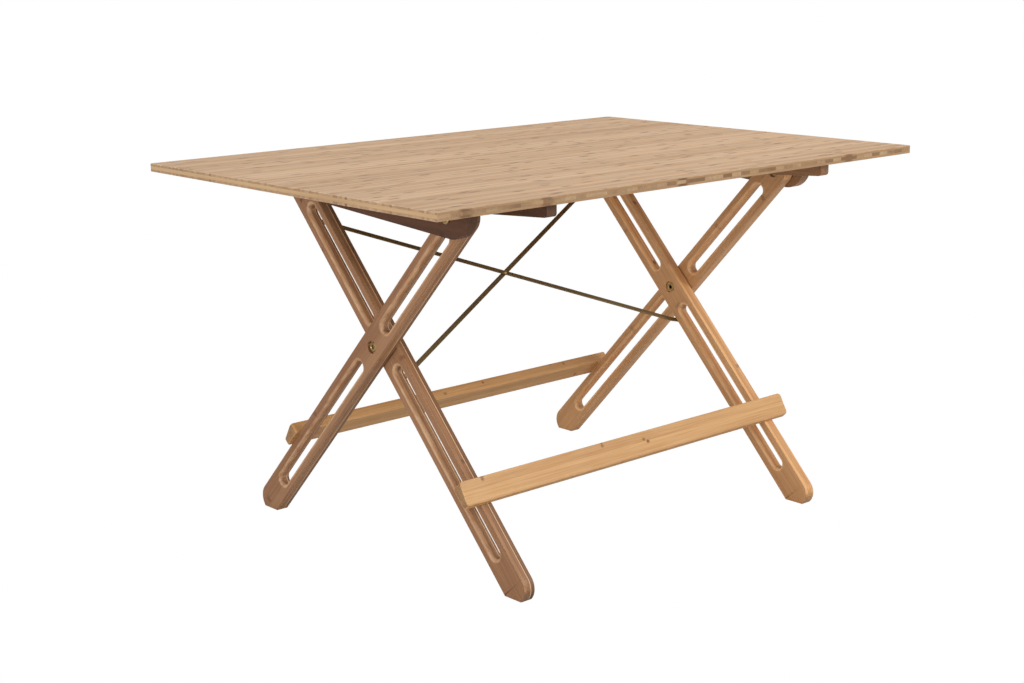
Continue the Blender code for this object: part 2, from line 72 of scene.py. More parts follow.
class Graph:
    """Adds nodes to one shader tree and joins them."""

    def __init__(self, tree: bpy.types.NodeTree) -> None:
        """Keep the tree that nodes are added to."""
        self.tree = tree

    def node(self, kind: str, inputs: dict | None = None, **settings) -> bpy.types.Node:
        """Add one node.

        Args:
            kind: the node's type name, without its ShaderNode prefix.
            inputs: values or sockets for its inputs, by name or index.
            **settings: the node's own properties.

        Returns:
            The new node.
        """
        item = self.tree.nodes.new("ShaderNode" + kind)
        for key, value in settings.items():
            setattr(item, key, value)
        for key, value in (inputs or {}).items():
            self.feed(item.inputs[key], value)
        return item

    def feed(self, target: Socket, value: object) -> None:
        """Join a socket to an input, or set the input's own value."""
        if isinstance(value, bpy.types.NodeSocket):
            self.tree.links.new(value, target)
        elif isinstance(value, tuple) and target.type == "RGBA":
            target.default_value = (*value, 1.0)
        else:
            target.default_value = value

    def sum(self, operation: str, *values: object, clamp: bool = False) -> Socket:
        """A Math node's result, its inputs given in order."""
        return self.node("Math", dict(enumerate(values)), operation=operation, use_clamp=clamp).outputs[0]

    def vector(self, operation: str, *values: object, out: int = 0) -> Socket:
        """A Vector Math node's result, its inputs given in order."""
        return self.node("VectorMath", dict(enumerate(values)), operation=operation).outputs[out]

    def ease(self, value: object, start: object, end: object) -> Socket:
        """A smooth step from 0 at start to 1 at end, which may be below start."""
        item = self.node(
            "MapRange", {"Value": value, "From Min": start, "From Max": end}, interpolation_type="SMOOTHSTEP"
        )
        return item.outputs["Result"]

    def blend(self, share: object, first: object, second: object, mode: str = "MIX") -> Socket:
        """A colour between two others."""
        item = self.node("Mix", {0: share, 6: first, 7: second}, data_type="RGBA", blend_type=mode)
        return item.outputs[2]

    def noise(self, vector: Socket, scale: float, detail: float = 2.0, rough: float = 0.5) -> Socket:
        """A 3-D noise value from 0 to 1."""
        inputs = {"Vector": vector, "Scale": scale, "Detail": detail, "Roughness": rough}
        return self.node("TexNoise", inputs).outputs["Fac"]

    def facing(self, normal: Socket, direction: Vector | Point) -> Socket:
        """How squarely a normal lies along a direction, from 0 to 1."""
        return self.sum("ABSOLUTE", self.vector("DOT_PRODUCT", normal, tuple(direction), out=1))

    def parts(self, vector: Socket) -> list[Socket]:
        """The three components of a vector."""
        return list(self.node("SeparateXYZ", {0: vector}).outputs)

    def roughen(self, shader: bpy.types.Node, height: Socket, strength: float, depth: float) -> None:
        """Bump a shader's surface by a height."""
        bump = self.node("Bump", {"Height": height, "Strength": strength, "Distance": depth})
        self.feed(shader.inputs["Normal"], bump.outputs[0])

    def join(self, x: object, y: object, z: object) -> Socket:
        """A vector from three components."""
        return self.node("CombineXYZ", {0: x, 1: y, 2: z}).outputs[0]


class Effect:
    """A node group with named inputs and outputs, built on first use and shared by the finishes."""

    name = "effect"
    inputs: Sequence[tuple[str, str, object]] = ()
    outputs: Sequence[tuple[str, str]] = ()

    @classmethod
    def tree(cls) -> bpy.types.NodeTree:
        """The effect's node group, made if it isn't there yet."""
        found = bpy.data.node_groups.get(cls.name)
        if found:
            return found
        tree = bpy.data.node_groups.new(cls.name, "ShaderNodeTree")
        for label, kind, value in cls.inputs:
            socket = tree.interface.new_socket(label, in_out="INPUT", socket_type="NodeSocket" + kind)
            if value is not None:
                socket.default_value = (*value, 1.0) if kind == "Color" else value
        for label, kind in cls.outputs:
            tree.interface.new_socket(label, in_out="OUTPUT", socket_type="NodeSocket" + kind)
        graph = Graph(tree)
        source = tree.nodes.new("NodeGroupInput")
        sink = tree.nodes.new("NodeGroupOutput")
        made = cls.build(graph, {socket.name: socket for socket in source.outputs if socket.name})
        for label, value in made.items():
            tree.links.new(value, sink.inputs[label])
        return tree

    @classmethod
    def build(cls, graph: Graph, given: dict[str, Socket]) -> dict[str, Socket]:
        """Make the effect's nodes and return its outputs by name."""
        raise NotImplementedError

    @classmethod
    def place(cls, graph: Graph, inputs: dict[str, object]) -> dict[str, Socket]:
        """Put the effect in a material with its own values, and return its outputs by name."""
        item = graph.tree.nodes.new("ShaderNodeGroup")
        item.node_tree = cls.tree()
        for key, value in inputs.items():
            graph.feed(item.inputs[key], value)
        return {socket.name: socket for socket in item.outputs}


class BambooStrips(Effect):
    """Laminated bamboo: long strips of slightly different tone with node marks and fine fibres.

    The vector runs along the grain in X, across the strips in Y and through the plies in Z.
    """

    name = "bamboo_strips"
    inputs = (
        ("Vector", "Vector", None),
        ("Strip Width", "Float", 0.006),
        ("Ply", "Float", 0.005),
        ("Node Spacing", "Float", 0.22),
        ("Node Length", "Float", 0.02),
        ("Node Share", "Float", 0.5),
        ("Tone Spread", "Float", 0.5),
        ("Fibre", "Float", 0.3),
        ("Joint", "Float", 0.3),
        ("Pale", "Color", (0.6, 0.4, 0.25)),
        ("Deep", "Color", (0.4, 0.25, 0.15)),
        ("Node Colour", "Color", (0.25, 0.14, 0.07)),
    )
    outputs = (("Color", "Color"), ("Height", "Float"))
    waver_stretch: Point = (1.6, 6.0, 6.0)
    waver_width = 0.0012
    broad_stretch: Point = (0.9, 14.0, 40.0)
    broad_share = 1.5
    fine_stretch: Point = (14.0, 900.0, 900.0)
    coarse_stretch: Point = (5.0, 260.0, 260.0)
    odd_strip_share = 0.55
    middle_tone = 0.42
    node_raggedness = 0.012

    @classmethod
    def build(cls, graph: Graph, given: dict[str, Socket]) -> dict[str, Socket]:
        """Strips, then tone, fibres, node marks and glue lines over them."""
        along, across, through = graph.parts(given["Vector"])
        waver = graph.noise(graph.vector("MULTIPLY", given["Vector"], cls.waver_stretch), 1.0, 1.0)
        bent = graph.sum("MULTIPLY_ADD", graph.sum("SUBTRACT", waver, 0.5), cls.waver_width, across)
        place = graph.sum("DIVIDE", bent, given["Strip Width"])
        layer = graph.sum("DIVIDE", through, given["Ply"])
        strip, sheet = graph.sum("FLOOR", place), graph.sum("FLOOR", layer)
        chance = graph.node("TexWhiteNoise", {"Vector": graph.join(strip, sheet, 3.7)}, noise_dimensions="3D")
        first, second, third = graph.parts(chance.outputs["Color"])

        # Tone: one for each strip, and slow change along it
        slow_at = graph.join(
            graph.sum("MULTIPLY", along, 2.4),
            graph.sum("MULTIPLY", strip, 3.1),
            graph.sum("MULTIPLY", sheet, 5.3),
        )
        slow = graph.noise(slow_at, 1.0, 2.0)
        broad = graph.noise(graph.vector("MULTIPLY", given["Vector"], cls.broad_stretch), 1.0, 2.0)
        odd = graph.sum("MULTIPLY", graph.ease(second, 0.86, 0.97), cls.odd_strip_share)
        tone = graph.sum("ADD", graph.sum("SUBTRACT", first, 0.5), graph.sum("SUBTRACT", slow, 0.5))
        wide = graph.sum("MULTIPLY", graph.sum("SUBTRACT", broad, 0.5), cls.broad_share)
        tone = graph.sum("ADD", tone, wide)
        tone = graph.sum("ADD", tone, odd)
        tone = graph.sum("MULTIPLY_ADD", tone, given["Tone Spread"], cls.middle_tone)

        # Fibres: thin streaks along the grain
        fine = graph.noise(graph.vector("MULTIPLY", given["Vector"], cls.fine_stretch), 1.0, 3.0, 0.65)
        coarse = graph.noise(graph.vector("MULTIPLY", given["Vector"], cls.coarse_stretch), 1.0, 2.0, 0.6)
        streak = graph.sum("ADD", graph.sum("SUBTRACT", fine, 0.5), graph.sum("SUBTRACT", coarse, 0.5))
        tone = graph.sum("MULTIPLY_ADD", streak, given["Fibre"], tone, clamp=True)
        colour = graph.blend(tone, given["Pale"], given["Deep"])

        # Node marks: short dashes, each strip's at its own places
        run = graph.sum("DIVIDE", graph.sum("MULTIPLY_ADD", third, 9.0, along), given["Node Spacing"])
        cell = graph.sum("FLOOR", run)
        shift = graph.node(
            "TexWhiteNoise", {"Vector": graph.join(strip, cell, sheet)}, noise_dimensions="3D"
        )
        lucky, jitter, strength = graph.parts(shift.outputs["Color"])
        centre = graph.sum("MULTIPLY_ADD", jitter, 0.5, 0.25)
        away = graph.sum("ABSOLUTE", graph.sum("SUBTRACT", graph.sum("FRACT", run), centre))
        away = graph.sum("MULTIPLY", away, given["Node Spacing"])
        rugged = graph.sum("MULTIPLY_ADD", graph.sum("SUBTRACT", coarse, 0.5), cls.node_raggedness, away)
        half = graph.sum("MULTIPLY", given["Node Length"], 0.5)
        dash = graph.ease(rugged, half, graph.sum("MULTIPLY", half, 0.25))
        present = graph.sum("LESS_THAN", lucky, given["Node Share"])
        inside = graph.sum("FRACT", place)
        edge = graph.sum("ABSOLUTE", graph.sum("SUBTRACT", inside, 0.5))
        body = graph.ease(edge, 0.5, 0.22)
        mark = graph.sum("MULTIPLY", graph.sum("MULTIPLY", dash, present), body)
        mark = graph.sum("MULTIPLY", mark, graph.sum("MULTIPLY_ADD", strength, 0.6, 0.4))
        colour = graph.blend(mark, colour, given["Node Colour"])

        # Glue lines between strips and between plies
        seam = graph.ease(edge, 0.455, 0.5)
        ply_edge = graph.sum("ABSOLUTE", graph.sum("SUBTRACT", graph.sum("FRACT", layer), 0.5))
        ply_seam = graph.ease(ply_edge, 0.445, 0.495)
        line = graph.sum("MULTIPLY", graph.sum("MAXIMUM", seam, ply_seam), given["Joint"])
        colour = graph.blend(line, colour, given["Node Colour"])
        height = graph.sum("SUBTRACT", graph.sum("MULTIPLY", fine, 0.6), graph.sum("MULTIPLY", line, 0.8))
        return {"Color": colour, "Height": height}


class EndGrain(Effect):
    """Cut ends of bamboo: darker wood with small dark bundle dots."""

    name = "end_grain"
    inputs = (
        ("Vector", "Vector", None),
        ("Facing", "Float", 0.0),
        ("Color", "Color", (0.5, 0.3, 0.2)),
        ("Darkening", "Float", 0.4),
        ("Dot Colour", "Color", (0.12, 0.06, 0.03)),
    )
    outputs = (("Color", "Color"),)
    dot_stretch: Point = (60.0, 620.0, 620.0)
    patch_stretch: Point = (20.0, 90.0, 90.0)
    dot_share = 0.7

    @classmethod
    def build(cls, graph: Graph, given: dict[str, Socket]) -> dict[str, Socket]:
        """Dots where the grain runs out of the surface."""
        mask = graph.ease(given["Facing"], 0.55, 0.85)
        at = graph.vector("MULTIPLY", given["Vector"], cls.dot_stretch)
        cells = graph.node("TexVoronoi", {"Vector": at, "Scale": 1.0}, feature="F1")
        dots = graph.ease(cells.outputs["Distance"], 0.42, 0.2)
        patch = graph.noise(graph.vector("MULTIPLY", given["Vector"], cls.patch_stretch), 1.0, 2.0)
        dots = graph.sum("MULTIPLY", dots, graph.ease(patch, 0.35, 0.6))
        darker = graph.blend(given["Darkening"], given["Color"], given["Dot Colour"])
        cut = graph.blend(graph.sum("MULTIPLY", dots, cls.dot_share), darker, given["Dot Colour"])
        return {"Color": graph.blend(mask, given["Color"], cut)}


class LayeredEdge(Effect):
    """Painted shade and highlight on narrow sides: a darker band past a depth, a pale line just before it."""

    name = "edge_shade_and_highlight"
    inputs = (
        ("Through", "Float", 0.0),
        ("Flatness", "Float", 0.0),
        ("Color", "Color", (0.5, 0.3, 0.2)),
        ("Split", "Float", 0.016),
        ("Shade Colour", "Color", (0.2, 0.1, 0.05)),
        ("Highlight Colour", "Color", (0.8, 0.55, 0.3)),
    )
    outputs = (("Color", "Color"),)
    half_line = 0.0003
    line_setback = 0.0006
    line_share = 0.75
    far_share = 0.62

    @classmethod
    def build(cls, graph: Graph, given: dict[str, Socket]) -> dict[str, Socket]:
        """A painted shade band past the shade depth, and a thin painted highlight line just before it."""
        side = graph.ease(given["Flatness"], 0.8, 0.35)
        past = graph.sum("SUBTRACT", given["Through"], given["Split"])
        # Painted shade: the narrow side darkens past the depth, as if that part were turned from the light
        far = graph.sum("MULTIPLY", graph.ease(past, -0.0002, cls.half_line), side)
        colour = graph.blend(graph.sum("MULTIPLY", far, cls.far_share), given["Color"], given["Shade Colour"])
        # Painted highlight: a thin pale line where the rounding would catch the light
        away = graph.sum("ABSOLUTE", graph.sum("ADD", past, cls.line_setback))
        line = graph.sum("MULTIPLY", graph.ease(away, 0.0010, cls.half_line), side)
        line = graph.sum("MULTIPLY", line, cls.line_share)
        return {"Color": graph.blend(line, colour, given["Highlight Colour"])}


class HandledEdges(Effect):
    """Rubbed and slightly darkened arrises, broken up so that no edge is even."""

    name = "handled_edges"
    inputs = (
        ("Vector", "Vector", None),
        ("Edge", "Float", 0.0),
        ("Color", "Color", (0.5, 0.3, 0.2)),
        ("Rubbed Colour", "Color", (0.7, 0.5, 0.3)),
        ("Amount", "Float", 0.4),
    )
    outputs = (("Color", "Color"),)
    break_stretch: Point = (35.0, 120.0, 120.0)

    @classmethod
    def build(cls, graph: Graph, given: dict[str, Socket]) -> dict[str, Socket]:
        """A broken mask along the edges, and the colour it lets through."""
        breaks = graph.noise(graph.vector("MULTIPLY", given["Vector"], cls.break_stretch), 1.0, 3.0, 0.6)
        grit = graph.ease(breaks, 0.32, 0.68)
        rubbed = graph.sum("MULTIPLY", graph.sum("MULTIPLY", given["Edge"], grit), given["Amount"])
        return {"Color": graph.blend(rubbed, given["Color"], given["Rubbed Colour"])}


class HandWear(Effect):
    """Faint smudges and dust over a whole surface."""

    name = "hand_wear"
    inputs = (
        ("Vector", "Vector", None),
        ("Low", "Float", 0.35),
        ("High", "Float", 0.55),
        ("Scale", "Float", 18.0),
    )
    outputs = (("Roughness", "Float"), ("Patch", "Float"))

    @classmethod
    def build(cls, graph: Graph, given: dict[str, Socket]) -> dict[str, Socket]:
        """A roughness that wanders between two values."""
        item = graph.node("TexNoise", {"Vector": given["Vector"], "Scale": given["Scale"], "Detail": 4.0})
        patch = graph.ease(item.outputs["Fac"], 0.3, 0.7)
        span = graph.sum("SUBTRACT", given["High"], given["Low"])
        return {"Roughness": graph.sum("MULTIPLY_ADD", patch, span, given["Low"]), "Patch": patch}


# ---------------------------------------------------------------- finishes


class Run(Enum):
    """Which axes of a piece are along its grain, across its strips and through its plies."""

    TOP = (0, 1, 2)
    TOP_CORE = (1, 0, 2)
    STRETCHER = (0, 2, 1)
    LEG = (2, 1, 0)
    RAIL = (1, 2, 0)


@dataclass(frozen=True)
class Bamboo:
    """A laminated bamboo finish."""

    pale: Colour
    deep: Colour
    # The node colour also paints the shade band on narrow sides, and the rubbed colour the highlight line
    # there
    node: Colour
    rubbed: Colour
    strip: float = 0.006
    ply: float = 0.006
    node_spacing: float = 0.2
    node_length: float = 0.02
    node_share: float = 0.5
    spread: float = 0.5
    fibre: float = 0.5
    joint: float = 0.25
    end_dark: float = 0.45
    rough: tuple[float, float] = (0.42, 0.6)
    bump: float = 0.25
    # Depth through the plies past which a narrow side gets painted shade and a painted highlight line; 0
    # leaves them out
    split: float = 0.0
    rub: float = 0.4
    coat: float = 0.04
    coat_rough: float = 0.4
    gloss: float = 0.3
    bump_depth: float = 0.0004
    seed_steps: tuple[float, float] = (2.3, 0.318)

    def strips(self, graph: Graph, vector: Socket, **changes: object) -> dict[str, Socket]:
        """Place the strips effect with this finish's values, some of them changed."""
        values = {
            "Vector": vector,
            "Strip Width": self.strip,
            "Ply": self.ply,
            "Node Spacing": self.node_spacing,
            "Node Length": self.node_length,
            "Node Share": self.node_share,
            "Tone Spread": self.spread,
            "Fibre": self.fibre,
            "Joint": self.joint,
            "Pale": self.pale,
            "Deep": self.deep,
            "Node Colour": self.node,
        }
        return BambooStrips.place(graph, values | changes)

    def material(self, name: str, run: Run, lean: float, origin: Vector, seed: int) -> bpy.types.Material:
        """Make the finish for one piece.

        Args:
            name: the material's name.
            run: how the grain lies in the piece.
            lean: the piece's turn about X, in radians.
            origin: a point from which its plies are counted.
            seed: sets the piece's own run of strips apart from the others'.

        Returns:
            The material.
        """
        material, graph, shader = new_material(name)
        source = graph.node("TexCoord")
        normal = source.outputs["Normal"]
        turn = Matrix.Rotation(-lean, 3, "X")
        place = {"Vector": source.outputs["Object"], "Location": tuple(-(turn @ origin))}
        mapping = graph.node("Mapping", place | {"Rotation": (-lean, 0, 0)})
        axes = graph.parts(mapping.outputs[0])
        along, across = (
            graph.sum("ADD", axes[axis], step * seed) for axis, step in zip(run.value, self.seed_steps)
        )
        grain = graph.join(along, across, axes[run.value[2]])
        facing = graph.facing(normal, turn.inverted().col[run.value[0]])
        made = self.wood(graph, axes, grain, facing, normal, seed)
        # Painted light: a painted shade band and a painted highlight line along the narrow sides
        if self.split:
            edge_light = LayeredEdge.place(
                graph,
                {
                    "Through": axes[run.value[2]],
                    "Flatness": graph.facing(normal, turn.inverted().col[run.value[2]]),
                    "Color": made["Color"],
                    "Split": self.split,
                    "Shade Colour": self.node,
                    "Highlight Colour": self.rubbed,
                },
            )
            made["Color"] = edge_light["Color"]
        edge = graph.node("Attribute", attribute_name=WEAR, attribute_type="GEOMETRY").outputs["Fac"]
        worn = HandledEdges.place(
            graph,
            {
                "Vector": grain,
                "Edge": edge,
                "Color": made["Color"],
                "Rubbed Colour": self.rubbed,
                "Amount": self.rub,
            },
        )
        low, high = self.rough
        touched = HandWear.place(graph, {"Vector": mapping.outputs[0], "Low": low, "High": high})
        graph.feed(shader.inputs["Base Color"], worn["Color"])
        graph.feed(shader.inputs["Roughness"], touched["Roughness"])
        shader.inputs["Coat Weight"].default_value = self.coat
        shader.inputs["Coat Roughness"].default_value = self.coat_rough
        shader.inputs["Specular IOR Level"].default_value = self.gloss
        graph.roughen(shader, made["Height"], self.bump, self.bump_depth)
        return material

    def wood(
        self, graph: Graph, axes: list[Socket], grain: Socket, facing: Socket, normal: Socket, seed: int
    ) -> dict[str, Socket]:
        """The wood's colour and height, its cut ends darkened."""
        made = self.strips(graph, grain)
        ends = EndGrain.place(
            graph, {"Vector": grain, "Facing": facing, "Color": made["Color"], "Darkening": self.end_dark}
        )
        return {"Color": ends["Color"], "Height": made["Height"]}


@dataclass(frozen=True)
class CrossPly(Bamboo):
    """Three-ply bamboo board: lengthwise faces over a core that runs across."""

    core_low: float = -0.0105
    core_high: float = -0.0042
    core_pale: Colour = (0.86, 0.60, 0.33)
    core_deep: Colour = (0.34, 0.20, 0.09)
    core_strip: float = 0.024
    core_dark: float = 0.12
    core_spread: float = 1.05
    core_fibre: float = 0.35
    core_joint: float = 0.5
    core_seed_steps: tuple[float, float] = (1.7, 0.41)
    glue_line: float = 0.0002
    glue_share: float = 2.4

    def wood(
        self, graph: Graph, axes: list[Socket], grain: Socket, facing: Socket, normal: Socket, seed: int
    ) -> dict[str, Socket]:
        """Face plies and core, each with its own cut ends."""
        skin = self.strips(graph, grain)
        skin_ends = EndGrain.place(
            graph, {"Vector": grain, "Facing": facing, "Color": skin["Color"], "Darkening": self.end_dark}
        )
        run = Run.TOP_CORE.value
        along, across = (
            graph.sum("ADD", axes[axis], step * seed) for axis, step in zip(run, self.core_seed_steps)
        )
        crosswise = graph.join(along, across, axes[run[2]])
        changes = {
            "Strip Width": self.core_strip,
            "Ply": 1.0,
            "Pale": self.core_pale,
            "Deep": self.core_deep,
            "Tone Spread": self.core_spread,
            "Fibre": self.core_fibre,
            "Joint": self.core_joint,
            "Node Share": 0.0,
        }
        core = self.strips(graph, crosswise, **changes)
        side = graph.facing(normal, (0.0, 1.0, 0.0))
        core_ends = EndGrain.place(
            graph, {"Vector": crosswise, "Facing": side, "Color": core["Color"], "Darkening": self.core_dark}
        )
        height = axes[2]
        above = graph.ease(height, self.core_high + self.glue_line, self.core_high - self.glue_line)
        below = graph.ease(height, self.core_low - self.glue_line, self.core_low + self.glue_line)
        inner = graph.sum("MULTIPLY", above, below)
        colour = graph.blend(inner, skin_ends["Color"], core_ends["Color"])
        glue = graph.sum("MULTIPLY", inner, graph.sum("SUBTRACT", 1.0, inner))
        glue = graph.sum("MULTIPLY", glue, self.glue_share)
        colour = graph.blend(glue, colour, self.node)
        return {"Color": colour, "Height": skin["Height"]}


@dataclass(frozen=True)
class PlainWood:
    """Turned wood for pegs and dowels, its grain along one axis."""

    pale: Colour
    deep: Colour
    stretch: Point
    rough: tuple[float, float] = (0.5, 0.7)
    patch_scale: float = 90.0
    bump: float = 0.2
    bump_depth: float = 0.0003

    def material(self, name: str) -> bpy.types.Material:
        """Make the finish."""
        material, graph, shader = new_material(name)
        place = graph.node("TexCoord").outputs["Object"]
        streaks = graph.noise(graph.vector("MULTIPLY", place, self.stretch), 1.0, 3.0, 0.6)
        colour = graph.blend(graph.ease(streaks, 0.3, 0.7), self.pale, self.deep)
        low, high = self.rough
        touched = HandWear.place(
            graph, {"Vector": place, "Low": low, "High": high, "Scale": self.patch_scale}
        )
        graph.feed(shader.inputs["Base Color"], colour)
        graph.feed(shader.inputs["Roughness"], touched["Roughness"])
        graph.roughen(shader, streaks, self.bump, self.bump_depth)
        return material


@dataclass(frozen=True)
class Metal:
    """Brass or bronzed steel with brushing, patches of tarnish and bright handled edges."""

    bright: Colour
    dull: Colour
    rough: tuple[float, float]
    patch_scale: float = 60.0
    brush: float = 900.0
    bump: float = 0.15
    bump_depth: float = 0.0001
    rub: float = 0.8

    def material(self, name: str) -> bpy.types.Material:
        """Make the finish."""
        material, graph, shader = new_material(name)
        place = graph.node("TexCoord").outputs["Object"]
        touched = HandWear.place(
            graph, {"Vector": place, "Low": self.rough[0], "High": self.rough[1], "Scale": self.patch_scale}
        )
        scratches = graph.noise(place, self.brush, 2.0, 0.6)
        colour = graph.blend(touched["Patch"], self.bright, self.dull)
        edge = graph.node("Attribute", attribute_name=WEAR, attribute_type="GEOMETRY").outputs["Fac"]
        worn = HandledEdges.place(
            graph,
            {
                "Vector": place,
                "Edge": edge,
                "Color": colour,
                "Rubbed Colour": self.bright,
                "Amount": self.rub,
            },
        )
        graph.feed(shader.inputs["Base Color"], worn["Color"])
        graph.feed(shader.inputs["Roughness"], touched["Roughness"])
        shader.inputs["Metallic"].default_value = 1.0
        graph.roughen(shader, scratches, self.bump, self.bump_depth)
        return material


def new_material(name: str) -> tuple[bpy.types.Material, Graph, bpy.types.Node]:
    """A new material, its graph and its Principled shader."""
    material = bpy.data.materials.new(name)
    material.use_nodes = True
    return material, Graph(material.node_tree), material.node_tree.nodes["Principled BSDF"]


TOP_WOOD = CrossPly(
    pale=(0.72, 0.49, 0.295),
    deep=(0.44, 0.26, 0.13),
    node=(0.17, 0.078, 0.033),
    rubbed=(0.82, 0.62, 0.40),
    strip=0.0065,
    ply=1.0,
    node_spacing=0.24,
    node_length=0.034,
    node_share=0.62,
    spread=0.62,
    fibre=1.1,
    joint=0.2,
    end_dark=0.32,
)
# Left legs: the leg bamboo darkened to paint the shade that falls on that side
SHADED_LEFT_LEG_WOOD = Bamboo(
    pale=(0.50, 0.272, 0.138),
    deep=(0.26, 0.116, 0.050),
    node=(0.15, 0.063, 0.027),
    rubbed=(0.95, 0.68, 0.42),
    strip=0.0185,
    ply=0.008,
    node_spacing=0.21,
    node_length=0.012,
    node_share=0.22,
    spread=0.5,
    fibre=1.6,
    joint=0.5,
    split=0.016,
    rub=0.95,
)
# Right legs: the same bamboo lightened to paint the light that falls on that side
LIT_RIGHT_LEG_WOOD = replace(
    SHADED_LEFT_LEG_WOOD, pale=(0.90, 0.52, 0.235), deep=(0.56, 0.27, 0.105), node=(0.30, 0.14, 0.06), split=0.0
)
# Left rails: the rail bamboo darkened to paint the shade that the top casts on them
SHADED_LEFT_RAIL_WOOD = replace(
    SHADED_LEFT_LEG_WOOD,
    pale=(0.14, 0.056, 0.022),
    deep=(0.075, 0.026, 0.010),
    node=(0.035, 0.012, 0.005),
    rubbed=(0.26, 0.13, 0.06),
    ply=0.0055,
    split=0.0,
    rub=0.5,
)
# Right rails: the rail bamboo in its own colour
RIGHT_RAIL_WOOD = replace(
    SHADED_LEFT_RAIL_WOOD,
    pale=(0.50, 0.27, 0.13),
    deep=(0.28, 0.13, 0.055),
    node=(0.14, 0.06, 0.025),
    rubbed=(0.7, 0.46, 0.26),
)
STRETCHER_WOOD = Bamboo(
    pale=(0.70, 0.405, 0.175),
    deep=(0.50, 0.255, 0.095),
    node=(0.24, 0.095, 0.03),
    rubbed=(0.80, 0.53, 0.28),
    strip=0.0145,
    ply=0.006,
    node_spacing=0.27,
    node_length=0.01,
    node_share=0.35,
    spread=0.6,
    fibre=1.5,
    joint=0.2,
    end_dark=0.62,
)
PEG_WOOD = PlainWood(pale=(0.58, 0.44, 0.28), deep=(0.42, 0.29, 0.17), stretch=(420.0, 420.0, 30.0))
DOWEL_WOOD = PlainWood(pale=(0.58, 0.44, 0.28), deep=(0.42, 0.29, 0.17), stretch=(420.0, 60.0, 60.0))
BRASS = Metal(bright=(0.58, 0.42, 0.17), dull=(0.28, 0.19, 0.075), rough=(0.25, 0.42))
BRONZED = Metal(
    bright=(0.30, 0.225, 0.115),
    dull=(0.19, 0.14, 0.07),
    rough=(0.5, 0.6),
    patch_scale=4.0,
    brush=150.0,
    bump=0.02,
)


# ---------------------------------------------------------------- mesh helpers


def new_stock() -> BMesh:
    """An empty mesh that can carry edge wear."""
    bm = bmesh.new()
    bm.verts.layers.float.new(WEAR)
    return bm


def everything(bm: BMesh) -> list:
    """All the mesh's parts."""
    return bm.verts[:] + bm.edges[:] + bm.faces[:]


def only(kind: type, items: Sequence) -> list:
    """The items of one kind."""
    return [item for item in items if isinstance(item, kind)]


def square_edges(bm: BMesh, least: float = 50.0) -> list[BMEdge]:
    """Edges between two faces that meet at more than an angle in degrees."""
    bmesh.ops.recalc_face_normals(bm, faces=bm.faces)
    limit = math.radians(least)
    return [edge for edge in bm.edges if len(edge.link_faces) == 2 and edge.calc_face_angle(0.0) > limit]


def round_over(bm: BMesh, edges: Sequence[BMEdge], radius: float, segments: int, worn: float = 1.0) -> None:
    """Round some edges and mark how worn they are."""
    made = bmesh.ops.bevel(
        bm,
        geom=list(edges),
        offset=radius,
        offset_type="OFFSET",
        segments=segments,
        profile=0.5,
        affect="EDGES",
        clamp_overlap=True,
        loop_slide=True,
        material=-1,
    )
    wear, rounded = bm.verts.layers.float[WEAR], set(made["faces"])
    for corner in made["verts"]:
        corner[wear] = worn if rounded.issuperset(corner.link_faces) else 0.0


def slice_off(bm: BMesh, point: Vector | Point, outward: Vector | Point, close: bool = True) -> None:
    """Take away what lies on the outward side of a plane.

    Args:
        bm: the mesh.
        point: a point in the plane.
        outward: the plane's normal, towards what goes.
        close: fill the cut, for a solid.
    """
    made = bmesh.ops.bisect_plane(
        bm, geom=everything(bm), dist=NEAR, plane_co=point, plane_no=outward, clear_outer=True
    )
    if close:
        bmesh.ops.edgeloop_fill(bm, edges=only(BMEdge, made["geom_cut"]))


@dataclass(frozen=True)
class Arc:
    """An arc in the YZ plane, its angles in degrees from +Y towards +Z."""

    centre: tuple[float, float]
    radius: float
    start: float
    sweep: float
    steps: int

    def draw(self, bm: BMesh) -> tuple[BMVert, BMVert]:
        """Spin one vertex into the arc, and return its two ends."""
        angle = math.radians(self.start)
        y, z = self.centre
        first = bm.verts.new((0.0, y + self.radius * math.cos(angle), z + self.radius * math.sin(angle)))
        sweep = math.radians(self.sweep)
        spun = bmesh.ops.spin(
            bm, geom=[first], cent=(0.0, y, z), axis=(1, 0, 0), angle=sweep, steps=self.steps
        )
        return first, only(BMVert, spun["geom_last"])[0]


def draw_outline(bm: BMesh, arcs: Sequence[Arc]) -> None:
    """Draw one closed line: arcs joined end to end by straight edges."""
    ends = [arc.draw(bm) for arc in arcs]
    for (_, last), (first, _) in zip(ends, ends[1:] + ends[:1]):
        bm.edges.new((last, first))


def draw_slot(bm: BMesh, low: float, high: float, radius: float, steps: int) -> None:
    """Draw a slot along Z, its round ends reaching low and high."""
    draw_outline(
        bm, [Arc((0, high - radius), radius, 0, 180, steps), Arc((0, low + radius), radius, 180, 180, steps)]
    )


def fill_and_thicken(bm: BMesh, near: float, far: float, band: float) -> None:
    """Turn drawn lines into a plate along X.

    Args:
        bm: the mesh, holding an outline and the outlines of its holes.
        near: where one face lies.
        far: where the other lies.
        band: width of the clean strip of faces kept along every rim for its round-over.
    """
    bmesh.ops.triangle_fill(bm, use_beauty=True, use_dissolve=False, edges=bm.edges[:])
    bmesh.ops.inset_region(bm, faces=bm.faces[:], thickness=band, use_boundary=True, use_even_offset=True)
    bmesh.ops.translate(bm, verts=bm.verts[:], vec=(near, 0, 0))
    made = bmesh.ops.extrude_face_region(bm, geom=bm.faces[:], use_keep_orig=True)
    bmesh.ops.translate(bm, verts=only(BMVert, made["geom"]), vec=(far - near, 0, 0))
    bmesh.ops.recalc_face_normals(bm, faces=bm.faces)


